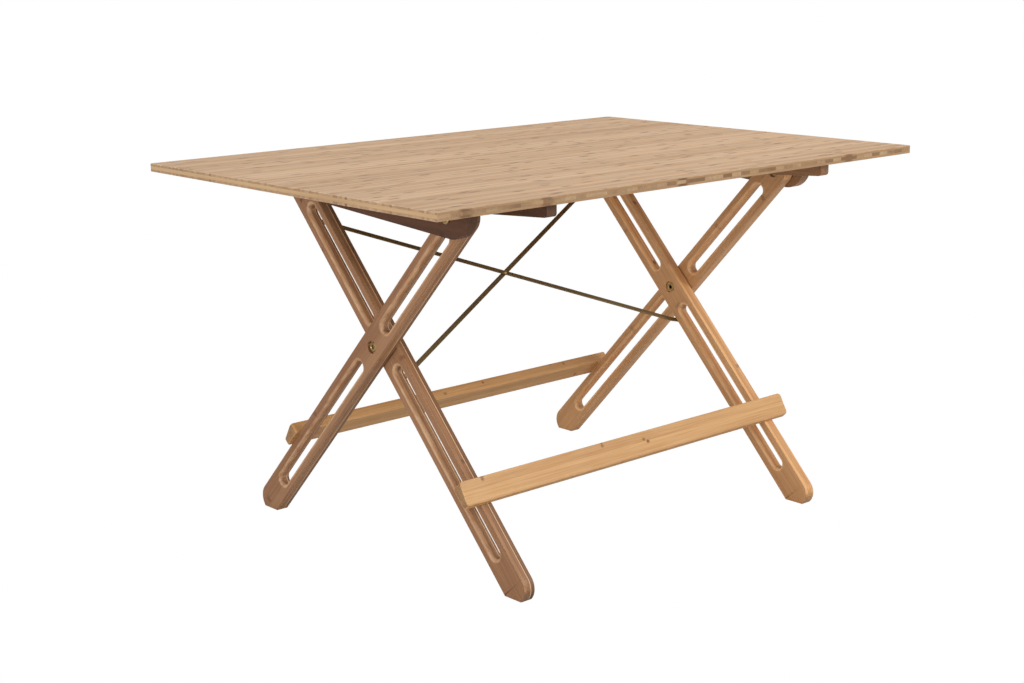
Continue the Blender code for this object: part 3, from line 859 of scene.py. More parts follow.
def turned(profile: Sequence[tuple[float, float]], steps: int = 48, closed: bool = True) -> BMesh:
    """A round solid about X.

    Args:
        profile: its outline as (place along X, radius) points.
        steps: faces round it.
        closed: bring both ends to the axis.

    Returns:
        The mesh.
    """
    bm = new_stock()
    line = [(profile[0][0], 0.0), *profile, (profile[-1][0], 0.0)] if closed else list(profile)
    corners = [bm.verts.new((x, radius, 0.0)) for x, radius in line]
    edges = [bm.edges.new(pair) for pair in zip(corners, corners[1:])]
    bmesh.ops.spin(
        bm,
        geom=corners + edges,
        cent=(0, 0, 0),
        axis=(1, 0, 0),
        angle=2 * math.pi,
        steps=steps,
        use_merge=True,
    )
    bmesh.ops.remove_doubles(bm, verts=bm.verts, dist=NEAR)
    bmesh.ops.recalc_face_normals(bm, faces=bm.faces)
    return bm


def drill(low: float, high: float, radius: float) -> BMesh:
    """A plain round cutter along X between two places."""
    return turned([(low, radius), (high, radius)], BORE_STEPS)


def placed(bm: BMesh, matrix: Matrix) -> BMesh:
    """Move and turn a mesh, and return it."""
    bmesh.ops.transform(bm, matrix=matrix, verts=bm.verts)
    return bm


def temporary(bm: BMesh, name: str) -> bpy.types.Object:
    """An unnamed helper object from a mesh, which is freed."""
    mesh = bpy.data.meshes.new(name)
    bm.to_mesh(mesh)
    bm.free()
    item = bpy.data.objects.new(name, mesh)
    bpy.context.scene.collection.objects.link(item)
    return item


def drilled(bm: BMesh, cutters: Sequence[BMesh]) -> BMesh:
    """Cut closed shapes out of a solid and return the result."""
    if not cutters:
        return bm
    whole = bmesh.new()
    for cutter in cutters:
        bmesh.ops.recalc_face_normals(cutter, faces=cutter.faces)
        part = bpy.data.meshes.new("bit")
        cutter.to_mesh(part)
        cutter.free()
        whole.from_mesh(part)
        bpy.data.meshes.remove(part)
    bmesh.ops.recalc_face_normals(bm, faces=bm.faces)
    work, tool = temporary(bm, "work"), temporary(whole, "drill")
    modifier = work.modifiers.new("bores", "BOOLEAN")
    modifier.operation, modifier.solver, modifier.object = "DIFFERENCE", "EXACT", tool
    bpy.context.view_layer.update()
    cut = bpy.data.meshes.new_from_object(work.evaluated_get(bpy.context.evaluated_depsgraph_get()))
    result = bmesh.new()
    result.from_mesh(cut)
    for item in (work, tool):
        mesh = item.data
        bpy.data.objects.remove(item, do_unlink=True)
        bpy.data.meshes.remove(mesh)
    bpy.data.meshes.remove(cut)
    bmesh.ops.dissolve_degenerate(result, dist=NEAR, edges=result.edges)
    return result


def add_piece(
    name: str,
    bm: BMesh,
    material: bpy.types.Material,
    body: str,
    stands_for: Sequence[str],
    sharp: float = 38.0,
) -> bpy.types.Object:
    """Make a finished piece that rides on a body.

    Args:
        name: the piece's name.
        bm: its mesh, in place, which is freed.
        material: its finish.
        body: the body it moves with.
        stands_for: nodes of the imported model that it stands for.
        sharp: edges over this angle in degrees stay crisp.

    Returns:
        The piece.
    """
    bmesh.ops.recalc_face_normals(bm, faces=bm.faces)
    mesh = bpy.data.meshes.new(name)
    bm.to_mesh(mesh)
    bm.free()
    mesh.materials.append(material)
    mesh.shade_smooth()
    mesh.set_sharp_from_angle(angle=math.radians(sharp))
    piece = bpy.data.objects.new(name, mesh)
    bpy.context.scene.collection.objects.link(piece)
    even_shading(piece)
    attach(piece, body)
    if stands_for:
        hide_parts(*stands_for)
    LOG.info("%s: %d faces on %s", name, len(piece.data.polygons), body)
    return piece


def even_shading(piece: bpy.types.Object) -> None:
    """Let the broad faces set the shading, so that a soft edge leaves them flat."""
    weighting = piece.modifiers.new("even", "WEIGHTED_NORMAL")
    weighting.keep_sharp = True
    bpy.context.view_layer.update()
    shaded = bpy.data.meshes.new_from_object(piece.evaluated_get(bpy.context.evaluated_depsgraph_get()))
    plain, name = piece.data, piece.data.name
    piece.modifiers.clear()
    piece.data = shaded
    bpy.data.meshes.remove(plain)
    shaded.name = name


def dress(node: str, material: bpy.types.Material) -> None:
    """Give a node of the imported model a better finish."""
    for slot in frame["nodes"][node].material_slots:
        slot.material = material
    LOG.info("%s: dressed with %s", node, material.name)


class Side(Enum):
    """Left and right ends of the table, with their direction along X."""

    LEFT = ("left", -1)
    RIGHT = ("right", 1)

    @property
    def word(self) -> str:
        """The side's name."""
        return self.value[0]

    @property
    def way(self) -> int:
        """-1 to the left, 1 to the right."""
        return self.value[1]


# ---------------------------------------------------------------- leg frames


@dataclass
class Bore:
    """A bolt's bore with a recess for its head, and a softened mouth."""

    radius: float = 0.0043
    recess_radius: float = 0.0118
    recess_depth: float = 0.0066
    mouth: float = 0.0006
    steps: int = 64

    def cutter(self, recessed: float, plain: float, at: Point) -> BMesh:
        """The shape to cut away, from the recessed face to the plain one."""
        way = 1 if plain > recessed else -1
        step = recessed + way * self.recess_depth
        profile = [
            (recessed - way * PAST, self.recess_radius + self.mouth + PAST),
            (recessed + way * self.mouth, self.recess_radius),
            (step, self.recess_radius),
            (step, self.radius),
            (plain + way * PAST, self.radius),
        ]
        return placed(turned(profile, self.steps), Matrix.Translation(at))


@dataclass
class LegFrame:
    """One pair of legs that lean the same way, with their stretcher.

    The frame's own axes start at the centre pivots: Z up the legs, -Y to the front.
    """

    name: str
    body: str
    back: int
    lean: float = math.radians(43.14)
    pivot_height: float = 0.3888
    half_width: float = 0.0290
    top_reach: float = 0.362
    foot_reach: float = 0.505
    slot_radius: float = 0.0103
    upper_slot: tuple[float, float] = (0.050, 0.315)
    lower_slot: tuple[float, float] = (-0.447, -0.050)
    slot_round: float = 0.0078
    edge_round: float = 0.0019
    edge_band: float = 0.0032
    rim_band: float = 0.0083
    rim_wear: float = 0.25
    stretcher_half: float = 0.4285
    stretcher_top: float = -0.3125
    stretcher_height: float = 0.0435
    stretcher_top_depth: float = 0.0233
    stretcher_foot_depth: float = 0.0128
    stretcher_corner: float = 0.007
    stretcher_round: float = 0.0016
    face_gap: float = 0.0003

    @property
    def slots(self) -> tuple[tuple[float, float], tuple[float, float]]:
        """Where the two slots start and end along the leg."""
        return self.upper_slot, self.lower_slot

    @property
    def turn(self) -> float:
        """The frame's turn about X: its legs' feet are at the front if it is negative."""
        return self.lean * (1 if self.name == "outer" else -1)

    @property
    def matrix(self) -> Matrix:
        """From the frame's own axes to the table's."""
        return Matrix.Translation((0, 0, self.pivot_height)) @ Matrix.Rotation(self.turn, 4, "X")

    def leg(self, near: float, far: float, bores: Sequence[BMesh]) -> BMesh:
        """One leg between two planes along X: round ends, two long slots with soft rims, a level foot."""
        bm = new_stock()
        draw_outline(
            bm,
            [
                Arc((0, self.top_reach), self.half_width, 0, 180, 36),
                Arc((0, -self.foot_reach), self.half_width, 180, 180, 36),
            ],
        )
        for low, high in self.slots:
            draw_slot(bm, low - self.rim_band, high + self.rim_band, self.slot_radius + self.rim_band, 24)
        bmesh.ops.triangle_fill(bm, use_beauty=True, use_dissolve=False, edges=bm.edges[:])
        up = Vector((0, math.sin(self.turn), math.cos(self.turn)))
        slice_off(bm, up * -self.pivot_height, -up, close=False)
        bmesh.ops.dissolve_degenerate(bm, dist=1e-5, edges=bm.edges)
        bmesh.ops.inset_region(
            bm, faces=bm.faces[:], thickness=self.edge_band, use_boundary=True, use_even_offset=True
        )
        for low, high in self.slots:
            self.narrow_slot(bm, low, high)
        bmesh.ops.translate(bm, verts=bm.verts[:], vec=(near, 0, 0))
        made = bmesh.ops.extrude_face_region(bm, geom=bm.faces[:], use_keep_orig=True)
        bmesh.ops.translate(bm, verts=only(BMVert, made["geom"]), vec=(far - near, 0, 0))
        round_over(bm, [edge for edge in square_edges(bm) if not self.at_rim(edge)], self.edge_round, 4)
        rims = [edge for edge in square_edges(bm) if self.at_rim(edge)]
        round_over(bm, rims, self.slot_round, 6, self.rim_wear)
        return placed(drilled(bm, bores), self.matrix)

    def narrow_slot(self, bm: BMesh, low: float, high: float) -> None:
        """Bring a slot's edge in to its real size, leaving a clean band of faces round it."""
        band, radius = self.rim_band, self.slot_radius
        rim = [edge for edge in bm.edges if edge.is_boundary and self.in_slot(edge, low, high, band)]
        made = bmesh.ops.extrude_edge_only(bm, edges=rim)
        shrink = radius / (radius + band)
        for corner in only(BMVert, made["geom"]):
            middle = min(max(corner.co.z, low + radius), high - radius)
            corner.co.y *= shrink
            corner.co.z = middle + (corner.co.z - middle) * shrink

    def at_rim(self, edge: BMEdge) -> bool:
        """True for an edge of either slot."""
        return any(self.in_slot(edge, low, high, 0.0) for low, high in self.slots)

    def in_slot(self, edge: BMEdge, low: float, high: float, band: float) -> bool:
        """True for an edge within a slot's outline, grown by a band."""
        reach = self.slot_radius + band + NEAR
        start, end = low - band - NEAR, high + band + NEAR
        return all(abs(v.co.y) <= reach and start <= v.co.z <= end for v in edge.verts)

    def stretcher(self) -> BMesh:
        """The wedge-faced stretcher on the legs' edges, deeper at its upper edge, with rounded corners."""
        bm = new_stock()
        bmesh.ops.create_cube(bm, size=1.0)
        low, high = self.stretcher_top - self.stretcher_height, self.stretcher_top
        seat, deep = self.half_width + self.face_gap, self.half_width + self.stretcher_top_depth
        size = (2 * self.stretcher_half, deep - seat, high - low)
        bmesh.ops.scale(bm, vec=size, verts=bm.verts)
        bmesh.ops.translate(bm, vec=(0, (seat + deep) / 2, (low + high) / 2), verts=bm.verts)
        corners = [
            edge for edge in bm.edges if abs((edge.verts[0].co - edge.verts[1].co).normalized().y) > 0.9
        ]
        round_over(bm, corners, self.stretcher_corner, 6)
        rise = math.atan2(self.stretcher_top_depth - self.stretcher_foot_depth, self.stretcher_height)
        slice_off(bm, (0, deep, high), (0, math.cos(rise), -math.sin(rise)))
        round_over(bm, square_edges(bm, 50.0), self.stretcher_round, 4)
        if self.back < 0:
            bmesh.ops.scale(bm, vec=(1, -1, 1), verts=bm.verts)
            bmesh.ops.reverse_faces(bm, faces=bm.faces)
        return placed(bm, self.matrix)

    def build(self) -> None:
        """Make both legs and the stretcher, with their finishes."""
        bore = Bore()
        for number, side in enumerate(Side):
            node = f"leg_{self.name}_{side.word}"
            low, high = (corner.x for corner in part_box(node))
            face, inside = (low, high) if side.way < 0 else (high, low)
            top = (0.0, 0.0, self.top_reach)
            if self.name == "outer":
                bores = [bore.cutter(face, inside, (0, 0, 0)), bore.cutter(inside, face, top)]
            else:
                bores = [bore.cutter(inside, face, (0, 0, 0)), bore.cutter(face, inside, top)]
            seed = number + (2 if self.name == "outer" else 5)
            origin = Vector((low, 0.0, self.pivot_height))
            # Painted light: left legs take the darkened copy, right legs the lightened copy of one bamboo
            finish = SHADED_LEFT_LEG_WOOD if side is Side.LEFT else LIT_RIGHT_LEG_WOOD
            wood = finish.material(f"{self.name}_leg_{side.word}_bamboo", Run.LEG, self.turn, origin, seed)
            add_piece(f"bamboo_{node}", self.leg(low, high, bores), wood, self.body, [node])
        word = "front" if self.back < 0 else "back"
        origin = Vector((0.0, 0.0, self.pivot_height))
        wood = STRETCHER_WOOD.material(
            f"stretcher_{word}_bamboo", Run.STRETCHER, self.turn, origin, 11 + self.back
        )
        add_piece(
            f"bamboo_stretcher_{word}",
            self.stretcher(),
            wood,
            self.body,
            [f"stretcher_{word}"],
        )


# ---------------------------------------------------------------- rails


@dataclass
class Rails:
    """The four tapering rails that swing on the legs' tops and carry the top."""

    pivot_y: float = 0.24755
    pivot_z: float = 0.65295
    top: float = 0.6847
    heel_reach: float = 0.053
    heel_radius: float = 0.041
    heel_depth: float = 0.0645
    tip: float = 0.405
    tip_depth: float = 0.022
    tip_radius: float = 0.007
    corner: float = 0.003
    edge_round: float = 0.0024
    band: float = 0.0045
    bolt_bore: float = 0.0043
    peg_bore: float = 0.0043
    peg_depth: float = 0.0093
    peg_places: tuple[float, float] = (-0.340, 0.275)

    def outline(self, bm: BMesh) -> None:
        """Draw a rail's side about its pivot, its tip towards +Y."""
        top = self.top - self.pivot_z
        tip = self.tip + self.pivot_y
        slope = (self.heel_depth - self.tip_depth) / tip
        stretch = math.hypot(1.0, slope)
        tangent = 270 + math.degrees(math.atan2(slope, 1))

        def above_edge(along: float, radius: float) -> tuple[float, float]:
            """Centre of a circle that touches the rail's lower edge from above."""
            return along, top - self.heel_depth + slope * along + radius * stretch

        heel = above_edge(-self.heel_reach + self.heel_radius, self.heel_radius)
        nose = above_edge(tip - self.tip_radius, self.tip_radius)
        draw_outline(
            bm,
            [
                Arc(heel, self.heel_radius, 180, tangent - 180, 20),
                Arc(nose, self.tip_radius, tangent, 360 - tangent, 8),
                Arc((tip - self.corner, top - self.corner), self.corner, 0, 90, 4),
                Arc((-self.heel_reach + self.corner, top - self.corner), self.corner, 90, 90, 4),
            ],
        )

    def rail(self, near: float, far: float, tip_way: int, pegs: bool) -> BMesh:
        """One rail between two planes along X, its tip to the back or, if tip_way is -1, to the front."""
        bm = new_stock()
        self.outline(bm)
        fill_and_thicken(bm, near, far, self.band)
        round_over(bm, square_edges(bm, 60.0), self.edge_round, 4)
        if tip_way < 0:
            bmesh.ops.scale(bm, vec=(1, -1, 1), verts=bm.verts)
            bmesh.ops.reverse_faces(bm, faces=bm.faces)
        pivot = Matrix.Translation((0, -tip_way * self.pivot_y, self.pivot_z))
        cutters = [placed(drill(min(near, far) - PAST, max(near, far) + PAST, self.bolt_bore), pivot)]
        if pegs:
            for place in self.peg_places:
                bore = drill(-self.peg_depth, PAST, self.peg_bore)
                at = Matrix.Translation(((near + far) / 2, place, self.top))
                cutters.append(placed(bore, at @ UPRIGHT))
        return drilled(placed(bm, pivot), cutters)

    def build(self) -> None:
        """Make the four rails and dress the pegs."""
        peg_finish = PEG_WOOD.material("peg_wood")
        for number, side in enumerate(Side):
            for plane, tip_way in (("outer", 1), ("inner", -1)):
                node = f"rail_{plane}_{side.word}"
                low, high = (corner.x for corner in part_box(node))
                seed = 17 + number + (3 if plane == "outer" else 0)
                origin = Vector((low, 0.0, self.top))
                # Painted shade: the left rails take the darkened copy of the rail bamboo
                finish = SHADED_LEFT_RAIL_WOOD if side is Side.LEFT else RIGHT_RAIL_WOOD
                wood = finish.material(f"{plane}_rail_{side.word}_bamboo", Run.RAIL, 0.0, origin, seed)
                bm = self.rail(low, high, tip_way, plane == "inner")
                add_piece(f"bamboo_{node}", bm, wood, node, [node])
            for end in ("front", "back"):
                dress(f"top_peg_{end}_{side.word}", peg_finish)


# ---------------------------------------------------------------- top


@dataclass
class Top:
    """The two boards that meet along the middle seam."""

    length: float = 1.210
    half_depth: float = 0.420
    thickness: float = 0.015
    height: float = 0.700
    corner: float = 0.005
    edge_round: float = 0.0011
    seam_gap: float = 0.0002
    seam_round: float = 0.0004
    peg_hole_radius: float = 0.0055
    peg_hole_depth: float = 0.008
    barrel_radius: float = 0.0048
    barrel_depth: float = 0.0138
    barrel_places: tuple[float, float, float] = (-0.5, 0.0, 0.5)
    peg_x: float = 0.353
    peg_places: tuple[float, float] = (-0.340, 0.275)

    def board(self, back: int) -> BMesh:
        """One board: rounded outer corners, softened rims, a nearly square edge at the seam."""
        bm = new_stock()
        bmesh.ops.create_cube(bm, size=1.0)
        depth = self.half_depth - self.seam_gap
        bmesh.ops.scale(bm, vec=(self.length, depth, self.thickness), verts=bm.verts)
        middle = (0, back * (self.seam_gap + depth / 2), self.height - self.thickness / 2)
        bmesh.ops.translate(bm, vec=middle, verts=bm.verts)
        outer = [
            edge
            for edge in bm.edges
            if all(back * v.co.y > self.half_depth / 2 for v in edge.verts)
            and abs(edge.verts[0].co.z - edge.verts[1].co.z) > self.thickness / 2
        ]
        round_over(bm, outer, self.corner, 6)

        def at_seam(edge: BMEdge) -> bool:
            """True for an edge that lies in the seam."""
            return all(abs(v.co.y) < 2 * self.seam_gap for v in edge.verts)

        round_over(bm, [edge for edge in square_edges(bm) if at_seam(edge)], self.seam_round, 2)
        rims = [edge for edge in square_edges(bm, 60.0) if not at_seam(edge)]
        round_over(bm, rims, self.edge_round, 3)
        return drilled(bm, self.cutters(back))

    def cutters(self, back: int) -> list[BMesh]:
        """Peg holes in the underside and barrel pockets in the seam."""
        bottom = self.height - self.thickness
        made = []
        for side in Side:
            bore = drill(-PAST, self.peg_hole_depth, self.peg_hole_radius)
            at = (side.way * self.peg_x, self.peg_places[0 if back < 0 else 1], bottom)
            made.append(placed(bore, Matrix.Translation(at) @ UPRIGHT))
        for place in self.barrel_places:
            bore = drill(*sorted((-back * PAST, back * self.barrel_depth)), self.barrel_radius)
            at = (place, 0, self.height - self.thickness / 2)
            made.append(placed(bore, Matrix.Translation(at) @ DEPTHWISE))
        return made

    def build(self, brass: bpy.types.Material) -> None:
        """Make both boards and dress the seam's barrels."""
        for word, back, seed in (("front", -1, 1), ("back", 1, 1)):
            node = f"top_board_{word}"
            wood = TOP_WOOD.material(f"board_{word}_bamboo", Run.TOP, 0.0, Vector((0, 0, self.height)), seed)
            add_piece(f"bamboo_{node}", self.board(back), wood, f"top_{word}", [node])
            for spot in ("left", "middle", "right"):
                dress(f"seam_barrel_{word}_{spot}", brass)


# ---------------------------------------------------------------- fittings


@dataclass
class Pivots:
    """The sleeve bolts and nuts at the centre and top pivots."""

    head_height: float = 0.0036
    head_radius: float = 0.0088
    crown: float = 0.0009
    shank: float = 0.0025
    sleeve: float = 0.0040
    sleeve_bore: float = 0.0028
    socket_ring: float = 0.0047
    socket_flat: float = 0.0041
    socket_depth: float = 0.0024
    socket_lead: float = 0.00035
    steps: int = 48

    def head(self, face: float, way: int, tail: Sequence[tuple[float, float]]) -> BMesh:
        """A round head with a six-sided socket, and what follows it.

        Args:
            face: the head's outer face along X.
            way: 1 if the shank runs to +X, or -1.
            tail: (place, radius) points from the head's seat on.

        Returns:
            The mesh, about the X axis.
        """
        crown = self.crown
        profile = [
            (face + way * self.socket_lead, self.socket_ring),
            (face, self.socket_ring + 0.0005),
            (face, self.head_radius - 1.7 * crown),
            (face + way * 0.25 * crown, self.head_radius - 0.7 * crown),
            (face + way * crown, self.head_radius),
            (face + way * self.head_height, self.head_radius),
            *tail,
        ]
        bm = turned(profile, self.steps, closed=False)
        mouth = [
            edge
            for edge in bm.edges
            if edge.is_boundary and all(abs(v.co.x - profile[0][0]) < NEAR for v in edge.verts)
        ]
        ring = bmesh.ops.create_circle(
            bm,
            segments=6,
            radius=self.socket_flat,
            matrix=Matrix.Translation((profile[0][0], 0, 0)) @ Matrix.Rotation(math.radians(90), 4, "Y"),
        )
        sides = list({edge for corner in ring["verts"] for edge in corner.link_edges})
        divided = bmesh.ops.subdivide_edges(bm, edges=sides, cuts=self.steps // 6 - 1)
        hexagon = only(BMEdge, divided["geom_split"])
        bmesh.ops.bridge_loops(bm, edges=mouth + hexagon)
        walls = bmesh.ops.extrude_edge_only(bm, edges=hexagon)
        bmesh.ops.translate(
            bm, verts=only(BMVert, walls["geom"]), vec=(way * (self.socket_depth - self.socket_lead), 0, 0)
        )
        bmesh.ops.edgeloop_fill(bm, edges=only(BMEdge, walls["geom"]))
        wear = bm.verts.layers.float[WEAR]
        for corner in bm.verts:
            radius = math.hypot(corner.co.y, corner.co.z)
            if radius > self.head_radius - 1.8 * crown and abs(corner.co.x - face) < 1.5 * crown:
                corner[wear] = 1.0
        return bm

    def bolt(self, low: float, high: float, outward: int) -> BMesh:
        """A bolt whose head is at its outward end."""
        face, tip = (high, low) if outward > 0 else (low, high)
        way = -outward
        seat = face + way * self.head_height
        return self.head(face, way, [(seat, self.shank), (tip, self.shank), (tip, 0.0)])

    def nut(self, low: float, high: float, outward: int) -> BMesh:
        """A sleeve nut whose flange is at its inward end."""
        face, mouth = (low, high) if outward > 0 else (high, low)
        way = outward
        seat = face + way * self.head_height
        tail = [
            (seat, self.sleeve),
            (mouth - way * 0.0003, self.sleeve),
            (mouth, self.sleeve - 0.0003),
            (mouth, self.sleeve_bore),
            (seat, self.sleeve_bore),
            (seat, 0.0),
        ]
        return self.head(face, way, tail)

    def build(self, brass: bpy.types.Material, steel: bpy.types.Material) -> None:
        """Make every bolt and nut, and dress the washers."""
        bodies = {"centre": "frame_inner", "outer": "frame_outer", "inner": "frame_inner"}
        for spot, body in bodies.items():
            for side in Side:
                for kind, shape in (("bolt", self.bolt), ("nut", self.nut)):
                    node = f"pivot_{kind}_{spot}_{side.word}"
                    low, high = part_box(node)
                    at = ((0.0, (low.y + high.y) / 2, (low.z + high.z) / 2))
                    bm = placed(shape(low.x, high.x, side.way), Matrix.Translation(at))
                    add_piece(f"brass_{kind}_{spot}_{side.word}", bm, brass, body, [node], 30.0)
                dress(f"pivot_washer_{spot}_{side.word}", steel)


@dataclass
class Brace:
    """The two crossed flat straps on the inner frame, their screws and the rivet where they cross."""

    frame: LegFrame
    width: float = 0.009
    thickness: float = 0.0025
    stand_off: float = 0.0028
    cross_reach: float = 0.121
    slope: float = 0.50
    joggle: float = 0.016
    end_flat: float = 0.014
    middle: float = 0.379
    edge_round: float = 0.0006
    gap: float = 0.0003
    screw_radius: float = 0.0018
    screw_head: float = 0.0036
    screw_rise: float = 0.0018
    screw_length: float = 0.0125
    rivet_radius: float = 0.0020
    rivet_head: float = 0.0040

    def strap(self, stand_off: float, slope: float) -> BMesh:
        """A flat strap with round ends, joggled from the legs' edge out to its middle run."""
        end = self.middle * math.hypot(1.0, slope) + self.width / 2
        bm = new_stock()
        draw_slot(bm, -end, end, self.width / 2, 12)
        fill_and_thicken(bm, 0.0, self.thickness, 3 * self.edge_round)
        round_over(bm, square_edges(bm, 60.0), self.edge_round, 2)
        bend_start = end - self.end_flat
        bend_end = bend_start - self.joggle
        cuts = 4
        for step in range(cuts + 1):
            place = bend_end + (bend_start - bend_end) * step / cuts
            for spot in (-place, place):
                bmesh.ops.bisect_plane(
                    bm, geom=everything(bm), dist=NEAR, plane_co=(0, 0, spot), plane_no=(0, 0, 1)
                )
        for corner in bm.verts:
            share = min(max((bend_start - abs(corner.co.z)) / self.joggle, 0.0), 1.0)
            corner.co.x += stand_off * share * share * (3 - 2 * share)
        run = Vector((1, 0, slope)).normalized()
        across = Vector((-run.z, 0, run.x))
        turn = Matrix((Vector((0, 1, 0)), across, run)).transposed().to_4x4()
        seat = Matrix.Translation((0, self.frame.half_width + self.gap, self.cross_reach))
        return placed(bm, self.frame.matrix @ seat @ turn)

    def along_depth(self, place: Vector | Point) -> Matrix:
        """From the X axis to the frame's depth axis, at a place in the frame."""
        return self.frame.matrix @ Matrix.Translation(place) @ DEPTHWISE

    def dome(self, seat: float, way: int, radius: float) -> list[tuple[float, float]]:
        """A low round head's outline, from its rim to its crown."""
        shares = ((0.0, 1.0), (0.3, 0.96), (0.7, 0.75), (1.0, 0.35))
        return [(seat + way * rise * self.screw_rise, share * radius) for rise, share in shares]

    def screw(self, place: Point) -> BMesh:
        """A round-headed screw through a strap's end."""
        seat = self.thickness + 2 * self.gap
        profile = [
            (-self.screw_length, self.screw_radius),
            (seat, self.screw_radius),
            *self.dome(seat, 1, self.screw_head),
        ]
        return placed(turned(profile, 32), self.along_depth(place))

    def rivet(self) -> BMesh:
        """The rivet that ties the straps where they cross."""
        near = self.frame.half_width + self.stand_off
        far = near + 3 * self.gap + 2 * self.thickness
        profile = [
            *reversed(self.dome(near, -1, self.rivet_head)),
            (near, self.rivet_radius),
            (far, self.rivet_radius),
            *self.dome(far, 1, self.rivet_head),
        ]
        return placed(turned(profile, 32), self.along_depth((0, 0, self.cross_reach)))

    def build(self, brass: bpy.types.Material, bronze: bpy.types.Material) -> None:
        """Make both straps, their screws and the rivet."""
        body = self.frame.body
        second = self.stand_off + self.thickness + self.gap
        for name, stand_off, slope in (
            ("falling", self.stand_off, -self.slope),
            ("rising", second, self.slope),
        ):
            node = f"brace_strap_{name}"
            add_piece(f"bronzed_{node}", self.strap(stand_off, slope), bronze, body, [node])
            for side in Side:
                across = side.way * self.middle
                place = (across, self.frame.half_width, self.cross_reach + across * slope)
                node = f"brace_screw_{name}_{side.word}"
                add_piece(f"bronzed_{node}", self.screw(place), bronze, body, [node])
        add_piece("brass_brace_rivet", self.rivet(), brass, body, ["brace_rivet"])


# ---------------------------------------------------------------- studio


@dataclass(frozen=True)
class SoftBox:
    """A square soft light at a place, facing a point."""

    name: str
    place: Point
    aim: Point
    size: float
    power: float

    def build(self) -> None:
        """Make the light."""
        data = bpy.data.lights.new(self.name, "AREA")
        data.shape, data.size, data.energy = "SQUARE", self.size, self.power
        lamp = bpy.data.objects.new(self.name, data)
        lamp.location = self.place
        lamp.rotation_euler = (Vector(self.aim) - Vector(self.place)).to_track_quat("-Z", "Y").to_euler()
        bpy.context.scene.collection.objects.link(lamp)


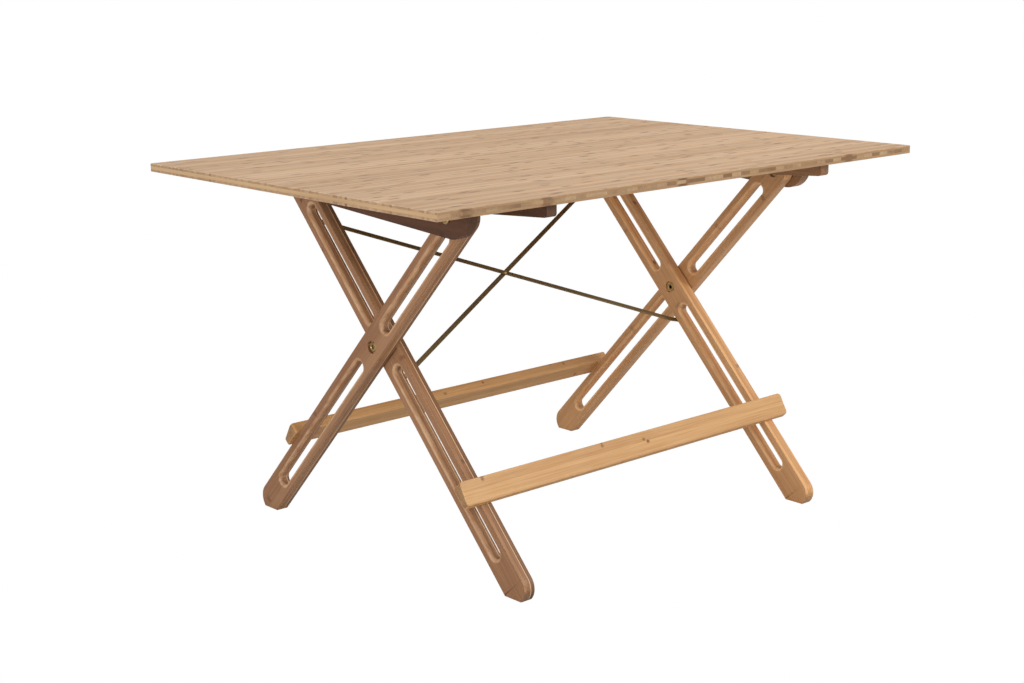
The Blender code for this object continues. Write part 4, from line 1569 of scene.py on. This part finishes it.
@dataclass
class Studio:
    """White room with soft light, a pale floor and the camera."""

    camera_place: Point = (-2.2021, -2.3676, 1.0908)
    yaw: float = 48.107
    pitch: float = 13.214
    roll: float = -0.492
    lens: float = 59.39
    sensor: float = 36.0
    room_light: float = 0.55
    floor_size: float = 30.0
    floor_drop: float = 0.0004
    floor_tone: Colour = (0.6, 0.6, 0.6)
    lamps: tuple[SoftBox, ...] = (
        SoftBox("key_light", (1.6, -3.6, 2.6), (0.0, 0.0, 0.4), 2.2, 95.0),
        SoftBox("top_light", (0.3, 0.4, 3.6), (0.0, 0.0, 0.4), 2.6, 45.0),
        SoftBox("left_fill", (-3.6, -0.6, 0.7), (0.3, 0.0, 0.15), 1.6, 60.0),
    )

    def camera(self) -> None:
        """Make the scene's camera."""
        yaw, pitch, roll = (math.radians(angle) for angle in (self.yaw, self.pitch, self.roll))
        forward = Vector(
            (math.cos(yaw) * math.cos(pitch), math.sin(yaw) * math.cos(pitch), -math.sin(pitch))
        )
        right = Vector((math.sin(yaw), -math.cos(yaw), 0.0))
        up = right.cross(forward)
        across = right * math.cos(roll) + up * math.sin(roll)
        above = up * math.cos(roll) - right * math.sin(roll)
        data = bpy.data.cameras.new("camera")
        data.lens, data.sensor_width, data.sensor_fit = self.lens, self.sensor, "HORIZONTAL"
        data.clip_start, data.clip_end = 0.05, 100.0
        camera = bpy.data.objects.new("camera", data)
        turn = Matrix((across, above, -forward)).transposed().to_4x4()
        camera.matrix_world = Matrix.Translation(self.camera_place) @ turn
        bpy.context.scene.collection.objects.link(camera)
        bpy.context.scene.camera = camera

    def room(self) -> None:
        """White surroundings that light the table gently from every side."""
        world = bpy.data.worlds.new("room")
        bpy.context.scene.world = world
        world.use_nodes = True
        tree = world.node_tree
        graph = Graph(tree)
        tree.nodes.clear()
        seen = graph.node("LightPath").outputs["Is Camera Ray"]
        soft = graph.node("Background", {"Color": (1.0, 1.0, 1.0), "Strength": self.room_light})
        plain = graph.node("Background", {"Color": (1.0, 1.0, 1.0), "Strength": 1.0})
        mixed = graph.node("MixShader", {0: seen, 1: soft.outputs[0], 2: plain.outputs[0]})
        graph.node("OutputWorld", {"Surface": mixed.outputs[0]})

    def floor(self) -> None:
        """A plain floor that the camera sees as even white, and that bounces pale grey light onto the table.
        """
        bm = bmesh.new()
        bmesh.ops.create_grid(bm, x_segments=1, y_segments=1, size=self.floor_size / 2)
        bmesh.ops.translate(bm, vec=(0, 0, -self.floor_drop), verts=bm.verts)
        mesh = bpy.data.meshes.new("floor")
        bm.to_mesh(mesh)
        bm.free()
        material, graph, shader = new_material("white_floor")
        shader.inputs["Base Color"].default_value = (*self.floor_tone, 1.0)
        shader.inputs["Roughness"].default_value = 0.9
        shader.inputs["Specular IOR Level"].default_value = 0.1
        seen = graph.node("LightPath").outputs["Is Camera Ray"]
        glow = graph.node("Emission", {"Color": (1.0, 1.0, 1.0), "Strength": 1.0})
        mixed = graph.node("MixShader", {0: seen, 1: shader.outputs[0], 2: glow.outputs[0]})
        output = material.node_tree.nodes["Material Output"]
        graph.feed(output.inputs["Surface"], mixed.outputs[0])
        mesh.materials.append(material)
        floor = bpy.data.objects.new("floor", mesh)
        bpy.context.scene.collection.objects.link(floor)

    def build(self) -> None:
        """Set up the camera, the room, the floor and the lights."""
        self.camera()
        self.room()
        self.floor()
        for lamp in self.lamps:
            lamp.build()
        bpy.context.scene.view_settings.view_transform = "Standard"


def corners(box: tuple[Vector, Vector]) -> list[list[float]]:
    """A box's two corners as plain lists."""
    return [list(corner) for corner in box]


def main() -> None:
    """Build the table and its studio."""
    logging.basicConfig(level=logging.INFO, format="%(name)s: %(message)s")
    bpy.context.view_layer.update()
    brass = BRASS.material("aged_brass")
    bronze = BRONZED.material("bronzed_steel")
    inner = LegFrame("inner", "frame_inner", -1)
    outer = LegFrame("outer", "frame_outer", 1)
    for leg_frame in (inner, outer):
        leg_frame.build()
    dowel_finish = DOWEL_WOOD.material("dowel_wood")
    for word in ("front", "back"):
        for side in Side:
            for level in ("lower", "upper"):
                dress(f"stretcher_dowel_{word}_{side.word}_{level}", dowel_finish)
    Rails().build()
    Top().build(brass)
    Pivots().build(brass, bronze)
    Brace(inner).build(brass, bronze)
    Studio().build()
    bpy.context.view_layer.update()


if __name__ == "__main__":
    main()
